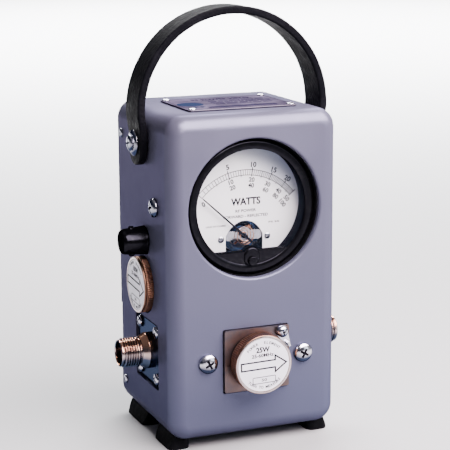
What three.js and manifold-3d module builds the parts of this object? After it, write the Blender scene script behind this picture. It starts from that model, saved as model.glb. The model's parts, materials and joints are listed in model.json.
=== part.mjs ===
// A through-line radio-frequency power meter: a cast housing with a leather strap, a round meter, a plug-in
// measuring element in a coaxial line section with two screw-thread connectors, and one spare element.
// Millimetres, +Z up, the front faces -Y. The origin is on the ground under the middle of the object.
import * as THREE from "three";
import { mergeVertices } from "three/addons/utils/BufferGeometryUtils.js";
import Module from "manifold-3d";

const wasm = await Module();
wasm.setup();

// ---------- driving dimensions ----------
const GAP = 0.3; // clear space between pieces that touch
const WIDTH = 93;
const FRONT = -37.5;
const SHELL_BACK = 41.2;
const BACK = 43.5;
const BOTTOM = 6;
const TOP = 175;
const WALL = 3;
const SIDE = WIDTH / 2;
const HEIGHT = TOP - BOTTOM;
const MIDDLE_Z = (TOP + BOTTOM) / 2;
const OUTLINE_RADIUS = 10; // corners of the front outline
const FRONT_EDGE_RADIUS = 8;

const METER_Z = 126;
const METER_OPENING = 36;
const METER_LIP = 37.4;
const CASE_RADIUS = 35.4;
const WINDOW_RADIUS = 30;
const BEZEL_FRONT = -33;
const DIAL_FRONT = -22.5;
const CASE_STEP = -19.4; // behind this the meter's case is narrower
const CASE_BACK = 12;
const CASE_BODY_RADIUS = 29.8;
const CHIN_TOP = 102.8;
const PIVOT_Z = 109;
const POINTER_REST = -47.5; // degrees from upright, at the scale's zero
const ADJUSTER_Z = 98;
const CORE_RADIUS = 4.2; // iron core inside the moving coil
const COIL_RADIUS = 5.7;
const MAGNET_BORE = 7.3;
const MAGNET_RADIUS = 10;

const LINE_Z = 46.5; // axis of the coaxial line, along X at y = 0
const LINE_HALF = 16;
const LINE_END = 40.8;
const LINE_BORE = 10;
const CONDUCTOR_RADIUS = 4.35;
const PLATE_WIDTH = 36;
const PLATE_HEIGHT = 33;
const PLATE_FRONT = -39.5;
const PLATE_Z = 47.3; // the front plate stands a little above the line's axis
const PORT_SIZE = 35.4; // square hole in each side of the housing
const FLANGE_SIZE = 32;
const FLANGE_THICK = 4.2;
const FLANGE_BOLT = 12.7; // half the square on which the flange screws stand
const CONNECTOR_END = 62.5;
const JACK_Y = -24;
const CATCH_X = 13.4;
const CATCH_Z = 60.8;

const CAP_RADIUS = 15.6;
const CAP_HEIGHT = 8.6;
const CAP_FACE = -48.5;
const BARREL_RADIUS = 12.4;
const SOCKET_RADIUS = 12.8;

const SPARE_Y = 2.7;
const SPARE_Z = 82;
const SPARE_FACE = 51.5;
const KNOB_Y = 0;
const KNOB_Z = 106.3;
const KNOB_END = 60;
const SPARE_CAP_RADIUS = 14.8;
const SPARE_CAP_HEIGHT = 7.6;
const SPARE_HOLE = 15.4; // in the housing's wall; the cap sinks into it

const STRAP_Y = 1; // middle of the strap, front to back
const STRAP_WIDTH = 20;
const STRAP_ARC = 51;
const STRAP_ARC_X = 0.7; // the leather leans a little to the right
const STRAP_THICK = 4.2;
const STRAP_ARC_Z = 173.4;
const STRAP_SCREW_Z = 157.7;
const STRAP_FOOT_Z = 146.5;
const STRAP_HOLE = 2.6;

// ---------- materials ----------
const look = (color, roughness, metalness) =>
  new THREE.MeshStandardMaterial({ color, roughness, metalness });
const greyPaint = look(0x8d8fa6, 0.45, 0.1);
const coverPaint = look(0x83859a, 0.5, 0.1);
const plateMetal = look(0x8f8c9c, 0.3, 0.8);
const rubber = look(0x17171a, 0.85, 0);
const leather = look(0x1a191c, 0.65, 0);
const bakelite = look(0x0c0c0e, 0.3, 0);
const steel = look(0xb9bcc6, 0.2, 1);
const silver = look(0xc9c4c0, 0.25, 1);
const brass = look(0xa87745, 0.35, 1);
const copper = look(0xb5673c, 0.35, 1);
const teflon = look(0xf0efe8, 0.5, 0);
const white = look(0xf5f5fa, 0.6, 0);
const glass = new THREE.MeshStandardMaterial({
  color: 0xf4f8ff,
  roughness: 0.03,
  transparent: true,
  opacity: 0.2,
});
const black = look(0x050505, 0.5, 0);
const iron = look(0x25344a, 0.5, 0.6);

// ---------- helpers ----------
const AXIS_X = new THREE.Vector3(1, 0, 0);
const AXIS_Y = new THREE.Vector3(0, 1, 0);
const AXIS_Z = new THREE.Vector3(0, 0, 1);
const model = new THREE.Group();

// A closed geometry as a manifold solid, ready to be joined or cut.
function solid(geometry) {
  const plain = geometry.clone();
  plain.deleteAttribute("normal");
  plain.deleteAttribute("uv");
  const merged = mergeVertices(plain, 1e-4);
  return new wasm.Manifold(
    new wasm.Mesh({
      numProp: 3,
      vertProperties: merged.attributes.position.array,
      triVerts: new Uint32Array(merged.index.array),
    }),
  );
}

// The geometry of a manifold solid.
function geometryOf(body) {
  const mesh = body.getMesh();
  const geometry = new THREE.BufferGeometry();
  geometry.setAttribute("position", new THREE.BufferAttribute(mesh.vertProperties, 3));
  geometry.setIndex(new THREE.BufferAttribute(mesh.triVerts, 1));
  geometry.computeVertexNormals();
  return geometry;
}

function cut(base, ...tools) {
  return geometryOf(tools.reduce((body, tool) => body.subtract(solid(tool)), solid(base)));
}

function join(...pieces) {
  return geometryOf(pieces.slice(1).reduce((body, piece) => body.add(solid(piece)), solid(pieces[0])));
}

function common(a, b) {
  return geometryOf(solid(a).intersect(solid(b)));
}

// The same piece on the other side of the plane x = 0, with its faces still pointing out.
function solidMirror(geometry) {
  return geometryOf(solid(geometry).mirror([1, 0, 0]));
}

function add(name, geometry, material, parent = model) {
  const mesh = new THREE.Mesh(geometry, material);
  mesh.name = name;
  parent.add(mesh);
  return mesh;
}

function roundedRect(width, height, radius, x = 0, y = 0) {
  const shape = new THREE.Shape();
  const right = x + width / 2;
  const left = x - width / 2;
  const high = y + height / 2;
  const low = y - height / 2;
  shape.moveTo(left + radius, low);
  shape.absarc(right - radius, low + radius, radius, -Math.PI / 2, 0);
  shape.absarc(right - radius, high - radius, radius, 0, Math.PI / 2);
  shape.absarc(left + radius, high - radius, radius, Math.PI / 2, Math.PI);
  shape.absarc(left + radius, low + radius, radius, Math.PI, Math.PI * 1.5);
  return shape;
}

// An outline drawn in x and z, as a slab from yFront backwards.
function frontSlab(shape, yFront, depth, curveSegments = 5) {
  const slab = new THREE.ExtrudeGeometry(shape, { depth, curveSegments, bevelEnabled: false });
  return slab.rotateX(Math.PI / 2).translate(0, yFront + depth, 0);
}

// The same with its front and back edges rounded by a radius.
function softSlab(shape, yFront, depth, radius, segments, curveSegments = 5) {
  const slab = new THREE.ExtrudeGeometry(shape, {
    depth: depth - 2 * radius,
    curveSegments,
    bevelThickness: radius,
    bevelSize: radius,
    bevelOffset: -radius,
    bevelSegments: segments,
  });
  return slab.rotateX(Math.PI / 2).translate(0, yFront + depth - radius, 0);
}

// An outline drawn in y and z, as a slab from xLow towards +X.
function sideSlab(shape, xLow, depth, curveSegments = 5) {
  const slab = new THREE.ExtrudeGeometry(shape, { depth, curveSegments, bevelEnabled: false });
  const turn = new THREE.Matrix4().makeBasis(AXIS_Y, AXIS_Z, AXIS_X);
  return slab.applyMatrix4(turn).translate(xLow, 0, 0);
}

// A profile of [radius, distance] pairs, turned about Y or X.
function turnedY(profile, segments) {
  return new THREE.LatheGeometry(profile.map(([r, y]) => new THREE.Vector2(r, y)), segments);
}

function turnedX(profile, segments) {
  return turnedY(profile, segments).rotateZ(-Math.PI / 2);
}

const rod = (radius, from, to) => [[0, from], [radius, from], [radius, to], [0, to]];

function box(width, depth, height, x, y, z) {
  return new THREE.BoxGeometry(width, depth, height).translate(x, y, z);
}

// A pan-head screw along Y: the head's underside at 0, its crown towards +Y, its shank towards -Y.
function screwProfile(headRadius, headHeight, shankRadius, length) {
  return [
    [0, -length],
    [shankRadius, -length],
    [shankRadius, 0],
    [headRadius, 0],
    [headRadius, headHeight * 0.35],
    [headRadius * 0.72, headHeight * 0.84],
    [0, headHeight],
  ];
}

// Places a geometry made along +Y so that +Y points along a direction, with its origin at a point.
function aim(geometry, direction, x, y, z) {
  const turn = new THREE.Quaternion().setFromUnitVectors(AXIS_Y, direction);
  return geometry.applyQuaternion(turn).translate(x, y, z);
}

const sides = [
  { name: "left", sign: -1 },
  { name: "right", sign: 1 },
];

// ---------- housing ----------
const outline = (inset) =>
  roundedRect(WIDTH - 2 * inset, HEIGHT - 2 * inset, OUTLINE_RADIUS - inset, 0, MIDDLE_Z);
const coverScrewPlaces = [
  { name: "upper", z: 157.7 },
  { name: "lower", z: 20 },
];
const COVER_SCREW_Y = 36;
const FRONT_SCREW_X = 26.6;
const SIDE_SCREW_Y = -16.2;
const SIDE_SCREW_Z = 126.4;
const SHANK = 1.9;
const SHANK_HOLE = 2.2;

function housingShell() {
  const depth = SHELL_BACK - FRONT;
  const past = 20;
  const outer = softSlab(outline(0), FRONT, depth + past, FRONT_EDGE_RADIUS, 4, 4);
  const inner = softSlab(outline(WALL), FRONT + WALL, depth + 2 * past, FRONT_EDGE_RADIUS - WALL, 2, 3);
  const behind = box(200, 100, 300, 0, SHELL_BACK + 50, 100);
  const opening = turnedY(
    [[0, FRONT - 1], [METER_LIP, FRONT - 1], [METER_LIP, FRONT], [METER_OPENING, FRONT + 1.5],
      [METER_OPENING, 0], [0, 0]],
    36,
  ).translate(0, 0, METER_Z);
  const below = 1; // clear height under the front plate
  const plateHole = roundedRect(
    PLATE_WIDTH + 2 * GAP,
    PLATE_HEIGHT + GAP + below,
    1,
    0,
    PLATE_Z + (GAP - below) / 2,
  );
  const ports = sideSlab(roundedRect(PORT_SIZE, PORT_SIZE, 1, 0, LINE_Z), -SIDE - 1, WIDTH + 2, 1);
  const holes = [behind, opening, frontSlab(plateHole, FRONT - 1, 6, 1), ports];
  for (const { sign } of sides) {
    holes.push(turnedY(rod(SHANK_HOLE, FRONT - 1, -30), 8).translate(sign * FRONT_SCREW_X, 0, PLATE_Z));
    const wall = [sign * (SIDE + 1), sign * (SIDE - WALL - 1)].sort((a, b) => a - b);
    holes.push(turnedX(rod(SHANK_HOLE, ...wall), 8).translate(0, SIDE_SCREW_Y, SIDE_SCREW_Z));
    holes.push(turnedX(rod(STRAP_HOLE, ...wall), 8).translate(0, STRAP_Y, STRAP_SCREW_Z));
    for (const place of coverScrewPlaces) {
      holes.push(turnedX(rod(1.6, ...wall), 6).translate(0, COVER_SCREW_Y, place.z));
    }
  }
  const leftWall = [-SIDE - 1, -SIDE + WALL + 1];
  holes.push(turnedX(rod(SPARE_HOLE, ...leftWall), 24).translate(0, SPARE_Y, SPARE_Z));
  holes.push(turnedX(rod(2.4, ...leftWall), 10).translate(0, KNOB_Y, KNOB_Z));
  return cut(outer, inner, ...holes);
}

function rearCover() {
  const plateThick = BACK - SHELL_BACK - GAP;
  const flangeThick = 1.2;
  const flangeDeep = 14;
  const plate = softSlab(outline(0.2), BACK - plateThick, plateThick, 0.8, 1, 4);
  const rim = outline(WALL + GAP);
  const pan = frontSlab(rim, BACK - plateThick - flangeDeep, flangeDeep + 0.5, 3);
  const inside = frontSlab(outline(WALL + GAP + flangeThick), 0, BACK - plateThick, 3);
  const holes = coverScrewPlaces.map(({ z }) =>
    turnedX(rod(1.6, -SIDE, SIDE), 6).translate(0, COVER_SCREW_Y, z),
  );
  const notch = { deep: 2.6, height: 32.5, z: LINE_Z - 0.25 };
  for (const { sign } of sides) {
    holes.push(box(2 * notch.deep, 20, notch.height, sign * SIDE, BACK, notch.z));
  }
  return cut(join(cut(pan, inside), plate), ...holes);
}

add("housing_shell", housingShell(), greyPaint);
add("rear_cover", rearCover(), coverPaint);

const NAMEPLATE_THICK = 0.7;
const nameplate = new THREE.ExtrudeGeometry(roundedRect(59.5, 44.5, 1.5, 0, -0.5), {
  depth: NAMEPLATE_THICK,
  bevelEnabled: false,
  curveSegments: 3,
});
add("nameplate", nameplate.translate(0, 0, TOP + GAP), plateMetal);

// ---------- feet and bumpers ----------
const FOOT = { inner: 33.6, outer: 45.7, waist: 42.3, corner: 4 };
const footRows = [
  { name: "front", from: -30, to: -5.7 },
  { name: "rear", from: 11.5, to: 39.2 },
];

// A foot's section follows the rounded underside of the housing and flares outwards to the ground.
function foot(sign, { from, to }) {
  const centreX = SIDE - OUTLINE_RADIUS;
  const centreZ = BOTTOM + OUTLINE_RADIUS;
  const radius = OUTLINE_RADIUS + GAP;
  const end = Math.asin((FOOT.waist - centreX) / radius) - Math.PI / 2;
  const section = new THREE.Shape();
  section.moveTo(FOOT.inner, 0);
  section.lineTo(FOOT.outer, 0);
  section.absarc(centreX, centreZ, radius, end, -Math.PI / 2, true);
  section.lineTo(FOOT.inner + 0.6, BOTTOM - GAP);
  section.closePath();
  const bar = frontSlab(section, from, to - from, 3);
  const plan = new THREE.ExtrudeGeometry(
    roundedRect(FOOT.outer - FOOT.inner + 0.02, to - from + 0.02, FOOT.corner,
      (FOOT.outer + FOOT.inner) / 2, (from + to) / 2),
    { depth: 12, curveSegments: 3, bevelEnabled: false },
  );
  const geometry = common(bar, plan.translate(0, 0, -1));
  if (sign > 0) return geometry;
  return solidMirror(geometry);
}

const BUMPER = { radius: 6.5, height: 4.7, x: 34 };
const bumperRows = [
  { name: "upper", z: 158 },
  { name: "lower", z: 23 },
];

function bumper() {
  const { radius, height } = BUMPER;
  const soft = [radius - 0.6, height - 0.8];
  return turnedY([[0, 0], [radius, 0], soft, [radius - 1.4, height], [0, height]], 12);
}

for (const { name, sign } of sides) {
  for (const row of footRows) {
    add(`foot_${row.name}_${name}`, foot(sign, row), rubber);
  }
  for (const row of bumperRows) {
    const geometry = bumper().translate(sign * BUMPER.x, BACK + GAP, row.z);
    add(`rear_bumper_${row.name}_${name}`, geometry, rubber);
  }
}

// ---------- strap ----------
function strap() {
  const legInner = SIDE + 0.5;
  const legOuter = legInner + STRAP_THICK;
  const inner = STRAP_ARC - STRAP_THICK / 2;
  const outer = STRAP_ARC + STRAP_THICK / 2;
  const straight = 164;
  const low = STRAP_FOOT_Z - 1;
  const shape = new THREE.Shape();
  shape.moveTo(-legInner, low);
  shape.lineTo(-legInner, straight);
  shape.quadraticCurveTo(-legInner - 0.2, STRAP_ARC_Z - 5, STRAP_ARC_X - inner, STRAP_ARC_Z);
  shape.absarc(STRAP_ARC_X, STRAP_ARC_Z, inner, Math.PI, 0, true);
  shape.quadraticCurveTo(legInner + 0.2, STRAP_ARC_Z - 5, legInner, straight);
  shape.lineTo(legInner, low);
  shape.lineTo(legOuter, low);
  shape.lineTo(legOuter, straight);
  shape.quadraticCurveTo(legOuter + 0.2, STRAP_ARC_Z - 5, STRAP_ARC_X + outer, STRAP_ARC_Z);
  shape.absarc(STRAP_ARC_X, STRAP_ARC_Z, outer, 0, Math.PI, false);
  shape.quadraticCurveTo(-legOuter - 0.2, STRAP_ARC_Z - 5, -legOuter, straight);
  shape.lineTo(-legOuter, low);
  shape.closePath();
  const band = frontSlab(shape, STRAP_Y - STRAP_WIDTH / 2, STRAP_WIDTH, 14);
  const tall = 100;
  const ends = roundedRect(STRAP_WIDTH + 0.02, tall, STRAP_WIDTH / 2, STRAP_Y, STRAP_FOOT_Z + tall / 2);
  const hole = turnedX(rod(STRAP_HOLE, -60, 60), 8).translate(0, STRAP_Y, STRAP_SCREW_Z);
  return cut(common(band, sideSlab(ends, -60, 120, 4)), hole);
}

function cupWasher() {
  return turnedY([[2.5, 0], [6.6, 0], [7, 0.5], [5.2, 1.5], [2.5, 1.7], [2.5, 0]], 14);
}

add("strap", strap(), leather);
const STRAP_OUTSIDE = SIDE + 0.5 + STRAP_THICK + GAP;
for (const { name, sign } of sides) {
  const outward = new THREE.Vector3(sign, 0, 0);
  const washer = aim(cupWasher(), outward, sign * STRAP_OUTSIDE, STRAP_Y, STRAP_SCREW_Z);
  add(`strap_washer_${name}`, washer, steel);
  const head = STRAP_OUTSIDE + 1.7 + GAP;
  const screw = turnedY(screwProfile(4.2, 1.4, 2.1, 12.5), 12);
  add(`strap_screw_${name}`, aim(screw, outward, sign * head, STRAP_Y, STRAP_SCREW_Z), steel);
}

// ---------- screws in the front and sides ----------
const FORWARD = new THREE.Vector3(0, -1, 0);
for (const { name, sign } of sides) {
  const outward = new THREE.Vector3(sign, 0, 0);
  const front = turnedY(screwProfile(5.2, 2.9, SHANK, 9), 12);
  add(`front_screw_${name}`, aim(front, FORWARD, sign * FRONT_SCREW_X, FRONT - GAP, PLATE_Z), steel);
  const side = turnedY(screwProfile(5, 2.7, SHANK, 6.5), 12);
  add(`side_screw_${name}`, aim(side, outward, sign * (SIDE + GAP), SIDE_SCREW_Y, SIDE_SCREW_Z), steel);
  for (const place of coverScrewPlaces) {
    const screw = turnedY(screwProfile(2.6, 0.9, 1.3, 5.2), 8);
    const at = sign * (SIDE + GAP);
    add(`cover_screw_${place.name}_${name}`, aim(screw, outward, at, COVER_SCREW_Y, place.z), steel);
  }
}

// ---------- coaxial line section ----------
const FLANGE_BACK = LINE_END + GAP;
const FLANGE_FRONT = FLANGE_BACK + FLANGE_THICK;
const flangeCorners = [
  { name: "upper_front", y: -FLANGE_BOLT, z: FLANGE_BOLT },
  { name: "upper_rear", y: FLANGE_BOLT, z: FLANGE_BOLT },
  { name: "lower_front", y: -FLANGE_BOLT, z: -FLANGE_BOLT },
  { name: "lower_rear", y: FLANGE_BOLT, z: -FLANGE_BOLT },
];

function lineBody() {
  const trunk = box(2 * LINE_END, 2 * LINE_HALF, 2 * LINE_HALF, 0, 0, LINE_Z);
  const bossShape = roundedRect(PLATE_WIDTH, PLATE_HEIGHT, 0.8, 0, PLATE_Z);
  const boss = frontSlab(bossShape, PLATE_FRONT, -PLATE_FRONT, 2);
  const lugFront = FRONT + WALL + GAP + 0.1;
  const lugs = box(64, 5, 14, 0, lugFront + 2.5, PLATE_Z);
  const socketFloor = -12;
  const holes = [
    turnedX(rod(LINE_BORE, -LINE_END - 1, LINE_END + 1), 20).translate(0, 0, LINE_Z),
    turnedY(rod(SOCKET_RADIUS, PLATE_FRONT - 1, socketFloor), 24).translate(0, 0, LINE_Z),
    turnedY(rod(8, socketFloor - 1, 0), 16).translate(0, 0, LINE_Z),
    turnedX(rod(3.4, 0, 20), 12).translate(0, JACK_Y, LINE_Z),
    turnedY(rod(1.6, PLATE_FRONT - 1, PLATE_FRONT + 8), 6).translate(CATCH_X, 0, CATCH_Z),
  ];
  for (const { sign } of sides) {
    const at = sign * FRONT_SCREW_X;
    holes.push(turnedY(rod(SHANK_HOLE, lugFront - 1, lugFront + 7), 8).translate(at, 0, PLATE_Z));
    for (const corner of flangeCorners) {
      const span = [sign * (LINE_END + 1), sign * 33].sort((a, b) => a - b);
      holes.push(turnedX(rod(2.1, ...span), 6).translate(0, corner.y, LINE_Z + corner.z));
    }
  }
  return cut(join(trunk, boss, lugs), ...holes);
}

// One screw-thread connector, made along +X: a square flange, a hub, a collar and a threaded mouth.
function connector() {
  const threadStart = 54;
  const threadEnd = 60.6;
  const crest = 7.95;
  const root = 7.35;
  const pitch = 2.2;
  const hub = [[4.6, FLANGE_BACK], [9.6, FLANGE_BACK], [9.6, 47.8], [9, 48.8], [7.6, 51.4], [7.6, 52.4]];
  const collar = [[8, 52.6], [8, 53.7], [root, threadStart]];
  const profile = [...hub, ...collar];
  for (let x = threadStart; x + pitch <= threadEnd + 0.01; x += pitch) {
    profile.push([crest, x + pitch * 0.35], [crest, x + pitch * 0.65], [root, x + pitch]);
  }
  profile.push([7, CONNECTOR_END], [6.5, CONNECTOR_END], [6.4, CONNECTOR_END - 0.4]);
  profile.push([6.4, threadStart], [4.6, threadStart], [4.6, FLANGE_BACK]);
  const barrel = turnedX(profile, 18).translate(0, 0, LINE_Z);
  const flangeShape = roundedRect(FLANGE_SIZE, FLANGE_SIZE, 1, 0, LINE_Z);
  const flange = sideSlab(flangeShape, FLANGE_BACK, FLANGE_THICK, 1);
  const bore = turnedX(rod(4.6, FLANGE_BACK - 1, 50), 18).translate(0, 0, LINE_Z);
  const holes = flangeCorners.map((corner) =>
    turnedX(rod(2.1, FLANGE_BACK - 1, FLANGE_FRONT + 1), 6).translate(0, corner.y, LINE_Z + corner.z),
  );
  return cut(join(flange, barrel), bore, ...holes);
}

// Turns a piece made on the right side round to the left side.
const toSide = (geometry, sign) => (sign > 0 ? geometry : geometry.rotateZ(Math.PI));

function connectorContact() {
  const tip = CONNECTOR_END - 2;
  const bore = tip - 5;
  const profile = [[0, 43], [1.6, 43], [1.6, tip - 0.4], [1.3, tip], [0.8, tip], [0.8, bore], [0, bore]];
  return turnedX(profile, 8).translate(0, 0, LINE_Z);
}

function connectorInsulator() {
  const profile = [[1.9, 44], [4.3, 44], [4.3, 54.5], [1.9, 54.5], [1.9, 44]];
  return turnedX(profile, 14).translate(0, 0, LINE_Z);
}

add("line_body", lineBody(), brass);
const conductor = turnedX(rod(CONDUCTOR_RADIUS, -42.4, 42.4), 14).translate(0, 0, LINE_Z);
add("centre_conductor", conductor, silver);
for (const { name, sign } of sides) {
  add(`connector_${name}`, toSide(connector(), sign), silver);
  add(`connector_contact_${name}`, toSide(connectorContact(), sign), silver);
  add(`connector_insulator_${name}`, toSide(connectorInsulator(), sign), teflon);
  for (const corner of flangeCorners) {
    const screw = turnedY(screwProfile(3.2, 1.6, 1.8, 10), 8);
    const outward = new THREE.Vector3(sign, 0, 0);
    const at = sign * (FLANGE_FRONT + GAP);
    const geometry = aim(screw, outward, at, corner.y, LINE_Z + corner.z);
    add(`connector_screw_${corner.name}_${name}`, geometry, steel);
  }
}

// The jack that takes the element's direct current out through the side of the boss.
const jackPin = [[0, 13.2], [1.2, 13.2], [3.1, 15], [3.1, 18.3]];
const jackProfile = [...jackPin, [4.6, 18.3], [4.6, 23], [3.4, 27], [0, 27]];
add("dc_jack", turnedX(jackProfile, 10).translate(0, JACK_Y, LINE_Z), brass);

// ---------- element catch ----------
function elementCatch() {
  const thick = 1.2;
  const tipX = 3;
  const tipZ = -6.5;
  const front = PLATE_FRONT - GAP - thick;
  const pad = turnedY(rod(3.2, front, front + thick), 12);
  const tip = turnedY(rod(1.5, front, front + thick), 10).translate(tipX, 0, tipZ);
  const angle = Math.atan2(tipZ, tipX);
  const arm = new THREE.BoxGeometry(Math.hypot(tipX, tipZ), thick, 2.8).rotateY(-angle);
  arm.translate(tipX / 2, front + thick / 2, tipZ / 2);
  const claw = new THREE.BoxGeometry(2.6, 3.4, 1.1).rotateY(-angle).translate(tipX, front - 0.7, tipZ);
  const hole = turnedY(rod(1.7, front - 1, front + thick + 1), 10);
  return cut(join(pad, tip, arm, claw), hole).translate(CATCH_X, 0, CATCH_Z);
}

add("element_catch", elementCatch(), steel);
const catchScrew = turnedY(screwProfile(3, 2, 1.35, 7), 10);
add("catch_screw", aim(catchScrew, FORWARD, CATCH_X, PLATE_FRONT - 2 * GAP - 1.2, CATCH_Z), steel);

// ---------- elements ----------
// Both elements are made along +Y with their faces at 0 and their barrels towards +Y.
function elementCap(radius, height) {
  const recess = 0.3;
  const crown = 3;
  const profile = [
    [0, recess],
    [radius - 1.3, recess],
    [radius - 1.3, 0],
    [radius - 0.4, 0],
    [radius, 0.5],
    [radius, 1.6],
    [radius - 0.3, 2],
    [radius - 0.3, height],
    [SOCKET_RADIUS - 0.1, height],
    [SOCKET_RADIUS - 0.1, crown],
    [0, crown],
  ];
  return turnedY(profile, 30);
}

function elementBarrel() {
  const start = 3 + GAP;
  const end = 35.5;
  const barrel = turnedY(
    [[0, start], [BARREL_RADIUS, start], [BARREL_RADIUS, end - 1], [BARREL_RADIUS - 1, end], [0, end]],
    24,
  );
  const leg = { side: 1.2, reach: 4.2, apart: 5 };
  const loop = [-1, 1].map((sign) =>
    box(leg.side, leg.reach, 3, sign * leg.apart, end - 0.1 + leg.reach / 2, 0),
  );
  const bridge = box(2 * leg.apart + leg.side, leg.side, 3, 0, end + leg.reach - leg.side / 2, 0);
  return join(barrel, ...loop, bridge);
}

function placeElement(name, capRadius, capHeight, group) {
  add(`${name}_cap`, elementCap(capRadius, capHeight), brass, group);
  add(`${name}_barrel`, elementBarrel(), silver, group);
  model.add(group);
}

const mainElement = new THREE.Group();
mainElement.position.set(0, CAP_FACE, LINE_Z);
placeElement("element", CAP_RADIUS, CAP_HEIGHT, mainElement);

const spareElement = new THREE.Group();
spareElement.position.set(-SPARE_FACE, SPARE_Y, SPARE_Z);
spareElement.rotation.z = -Math.PI / 2;
placeElement("spare", SPARE_CAP_RADIUS, SPARE_CAP_HEIGHT, spareElement);

function spareSocket() {
  const mouth = -SIDE + WALL + GAP;
  const floor = -SPARE_FACE + 40.4;
  const flange = 1.2;
  const inside = [[0, floor], [SOCKET_RADIUS, floor], [SOCKET_RADIUS, mouth]];
  const outside = [[17, mouth], [17, mouth + flange], [14.5, mouth + flange]];
  const end = [[14.5, floor + flange], [0, floor + flange]];
  return turnedX([...inside, ...outside, ...end], 24).translate(0, SPARE_Y, SPARE_Z);
}

add("spare_socket", spareSocket(), brass);

// The knob has two small round lobes; a turn brings one of them over the rim of the spare's cap.
function retainerKnob() {
  const base = -SIDE - GAP;
  const body = [
    [0, -KNOB_END],
    [5.6, -KNOB_END],
    [6.3, -KNOB_END + 0.6],
    [6.7, -KNOB_END + 2],
    [7.4, base - 2],
    [7.7, base - 1],
    [7.7, base],
    [2, base],
    [2, base + 6.5],
    [0, base + 6.5],
  ];
  const lobe = { reach: 8.1, half: 1.9, from: -55.2, to: -53.2 };
  const lobes = [-1, 1].map((sign) =>
    turnedX(rod(lobe.half, lobe.from, lobe.to), 10).translate(0, 0, sign * (lobe.reach - lobe.half)),
  );
  return join(turnedX(body, 16), ...lobes).translate(0, KNOB_Y, KNOB_Z);
}

add("retainer_knob", retainerKnob(), bakelite);

// ---------- meter ----------
function meterCase() {
  const pocket = 31.3;
  const wall = 2.2;
  const inside = CASE_BODY_RADIUS - wall;
  const shell = turnedY(
    [
      [0, CASE_BACK - wall],
      [inside, CASE_BACK - wall],
      [inside, CASE_STEP - 1.8],
      [pocket, CASE_STEP - 1.8],
      [pocket, BEZEL_FRONT + 0.8],
      [WINDOW_RADIUS, BEZEL_FRONT + 0.8],
      [WINDOW_RADIUS, BEZEL_FRONT + 0.3],
      [WINDOW_RADIUS + 0.5, BEZEL_FRONT],
      [CASE_RADIUS - 0.8, BEZEL_FRONT],
      [CASE_RADIUS, BEZEL_FRONT + 0.8],
      [CASE_RADIUS, CASE_STEP],
      [CASE_BODY_RADIUS, CASE_STEP],
      [CASE_BODY_RADIUS, CASE_BACK - 2],
      [CASE_BODY_RADIUS - 2, CASE_BACK],
      [0, CASE_BACK],
    ],
    36,
  ).translate(0, 0, METER_Z);
  const chinHeight = CHIN_TOP - (METER_Z - pocket - 1);
  const block = box(60, 5, chinHeight, 0, BEZEL_FRONT + 3, CHIN_TOP - chinHeight / 2);
  const limit = turnedY(rod(CASE_RADIUS - 1, BEZEL_FRONT + 0.5, BEZEL_FRONT + 5.5), 36);
  const boss = turnedY(rod(3.6, BEZEL_FRONT - 0.4, BEZEL_FRONT + 5.5), 16).translate(0, 0, ADJUSTER_Z);
  const hole = turnedY(rod(1.9, BEZEL_FRONT - 2, BEZEL_FRONT + 8), 10).translate(0, 0, ADJUSTER_Z);
  return cut(join(shell, common(block, limit.translate(0, 0, METER_Z)), boss), hole);
}

function meterWindow() {
  const disc = turnedY(rod(30.9, BEZEL_FRONT + 1.1, BEZEL_FRONT + 2.6), 36).translate(0, 0, METER_Z);
  const below = box(80, 10, 40, 0, BEZEL_FRONT, CHIN_TOP + GAP - 20);
  return cut(disc, below);
}

// The scale plate, with an arched opening over the movement.
function dialPlate() {
  const shape = new THREE.Shape();
  const radius = 30.9;
  const low = CHIN_TOP - 4 - METER_Z;
  const start = Math.asin(low / radius);
  shape.absarc(0, METER_Z, radius, start, Math.PI - start, false);
  shape.closePath();
  const arch = new THREE.Path();
  const half = 10.4;
  const shoulder = 109.5;
  const top = 117;
  arch.moveTo(-half, CHIN_TOP - 2.5);
  arch.lineTo(-half, shoulder);
  arch.quadraticCurveTo(-6, top, 0.4, top);
  arch.quadraticCurveTo(6.6, top, half, shoulder);
  arch.lineTo(half, CHIN_TOP - 2.5);
  arch.closePath();
  shape.holes.push(arch);
  return frontSlab(shape, DIAL_FRONT, 0.8, 14);
}

// The pointer, its hub and tail, and the moving coil that turns in the magnet's gap.
function pointer() {
  const bladeBack = DIAL_FRONT - 2;
  const blade = new THREE.Shape();
  blade.moveTo(-0.6, 0);
  blade.lineTo(-0.18, 32);
  blade.lineTo(0.18, 32);
  blade.lineTo(0.6, 0);
  blade.lineTo(0.5, -6.5);
  blade.lineTo(-0.5, -6.5);
  blade.closePath();
  const arm = frontSlab(blade, bladeBack - 0.4, 0.4);
  const weight = box(3, 1, 1.6, 0, bladeBack - 0.3, -6);
  const hub = turnedY(rod(1.2, bladeBack - 0.8, -18.8), 8);
  const wire = 1.6;
  const coilFront = -19.6;
  const crossbar = box(2 * COIL_RADIUS + wire, 0.8, wire, 0, coilFront + 0.4, 0);
  const legs = [-1, 1].map((sign) => box(wire, 12, wire, sign * COIL_RADIUS, coilFront + 6, 0));
  return join(arm, weight, hub, crossbar, ...legs);
}

// A flat spiral of phosphor bronze round the pointer's hub.
function hairspring() {
  const turns = 2.25;
  const inner = 1.7;
  const outer = 5.4;
  const steps = 28;
  const half = 0.14;
  const edge = (offset) => (step) => {
    const t = step / steps;
    const radius = inner + (outer - inner) * t + offset;
    const angle = t * turns * 2 * Math.PI;
    return new THREE.Vector2(radius * Math.cos(angle), radius * Math.sin(angle));
  };
  const along = [...Array(steps + 1).keys()];
  const outside = along.map(edge(half));
  const inside = along.map(edge(-half)).reverse();
  const shape = new THREE.Shape([...outside, ...inside]);
  return frontSlab(shape, DIAL_FRONT - 0.9, 0.6).translate(0, 0, PIVOT_Z);
}

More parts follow.
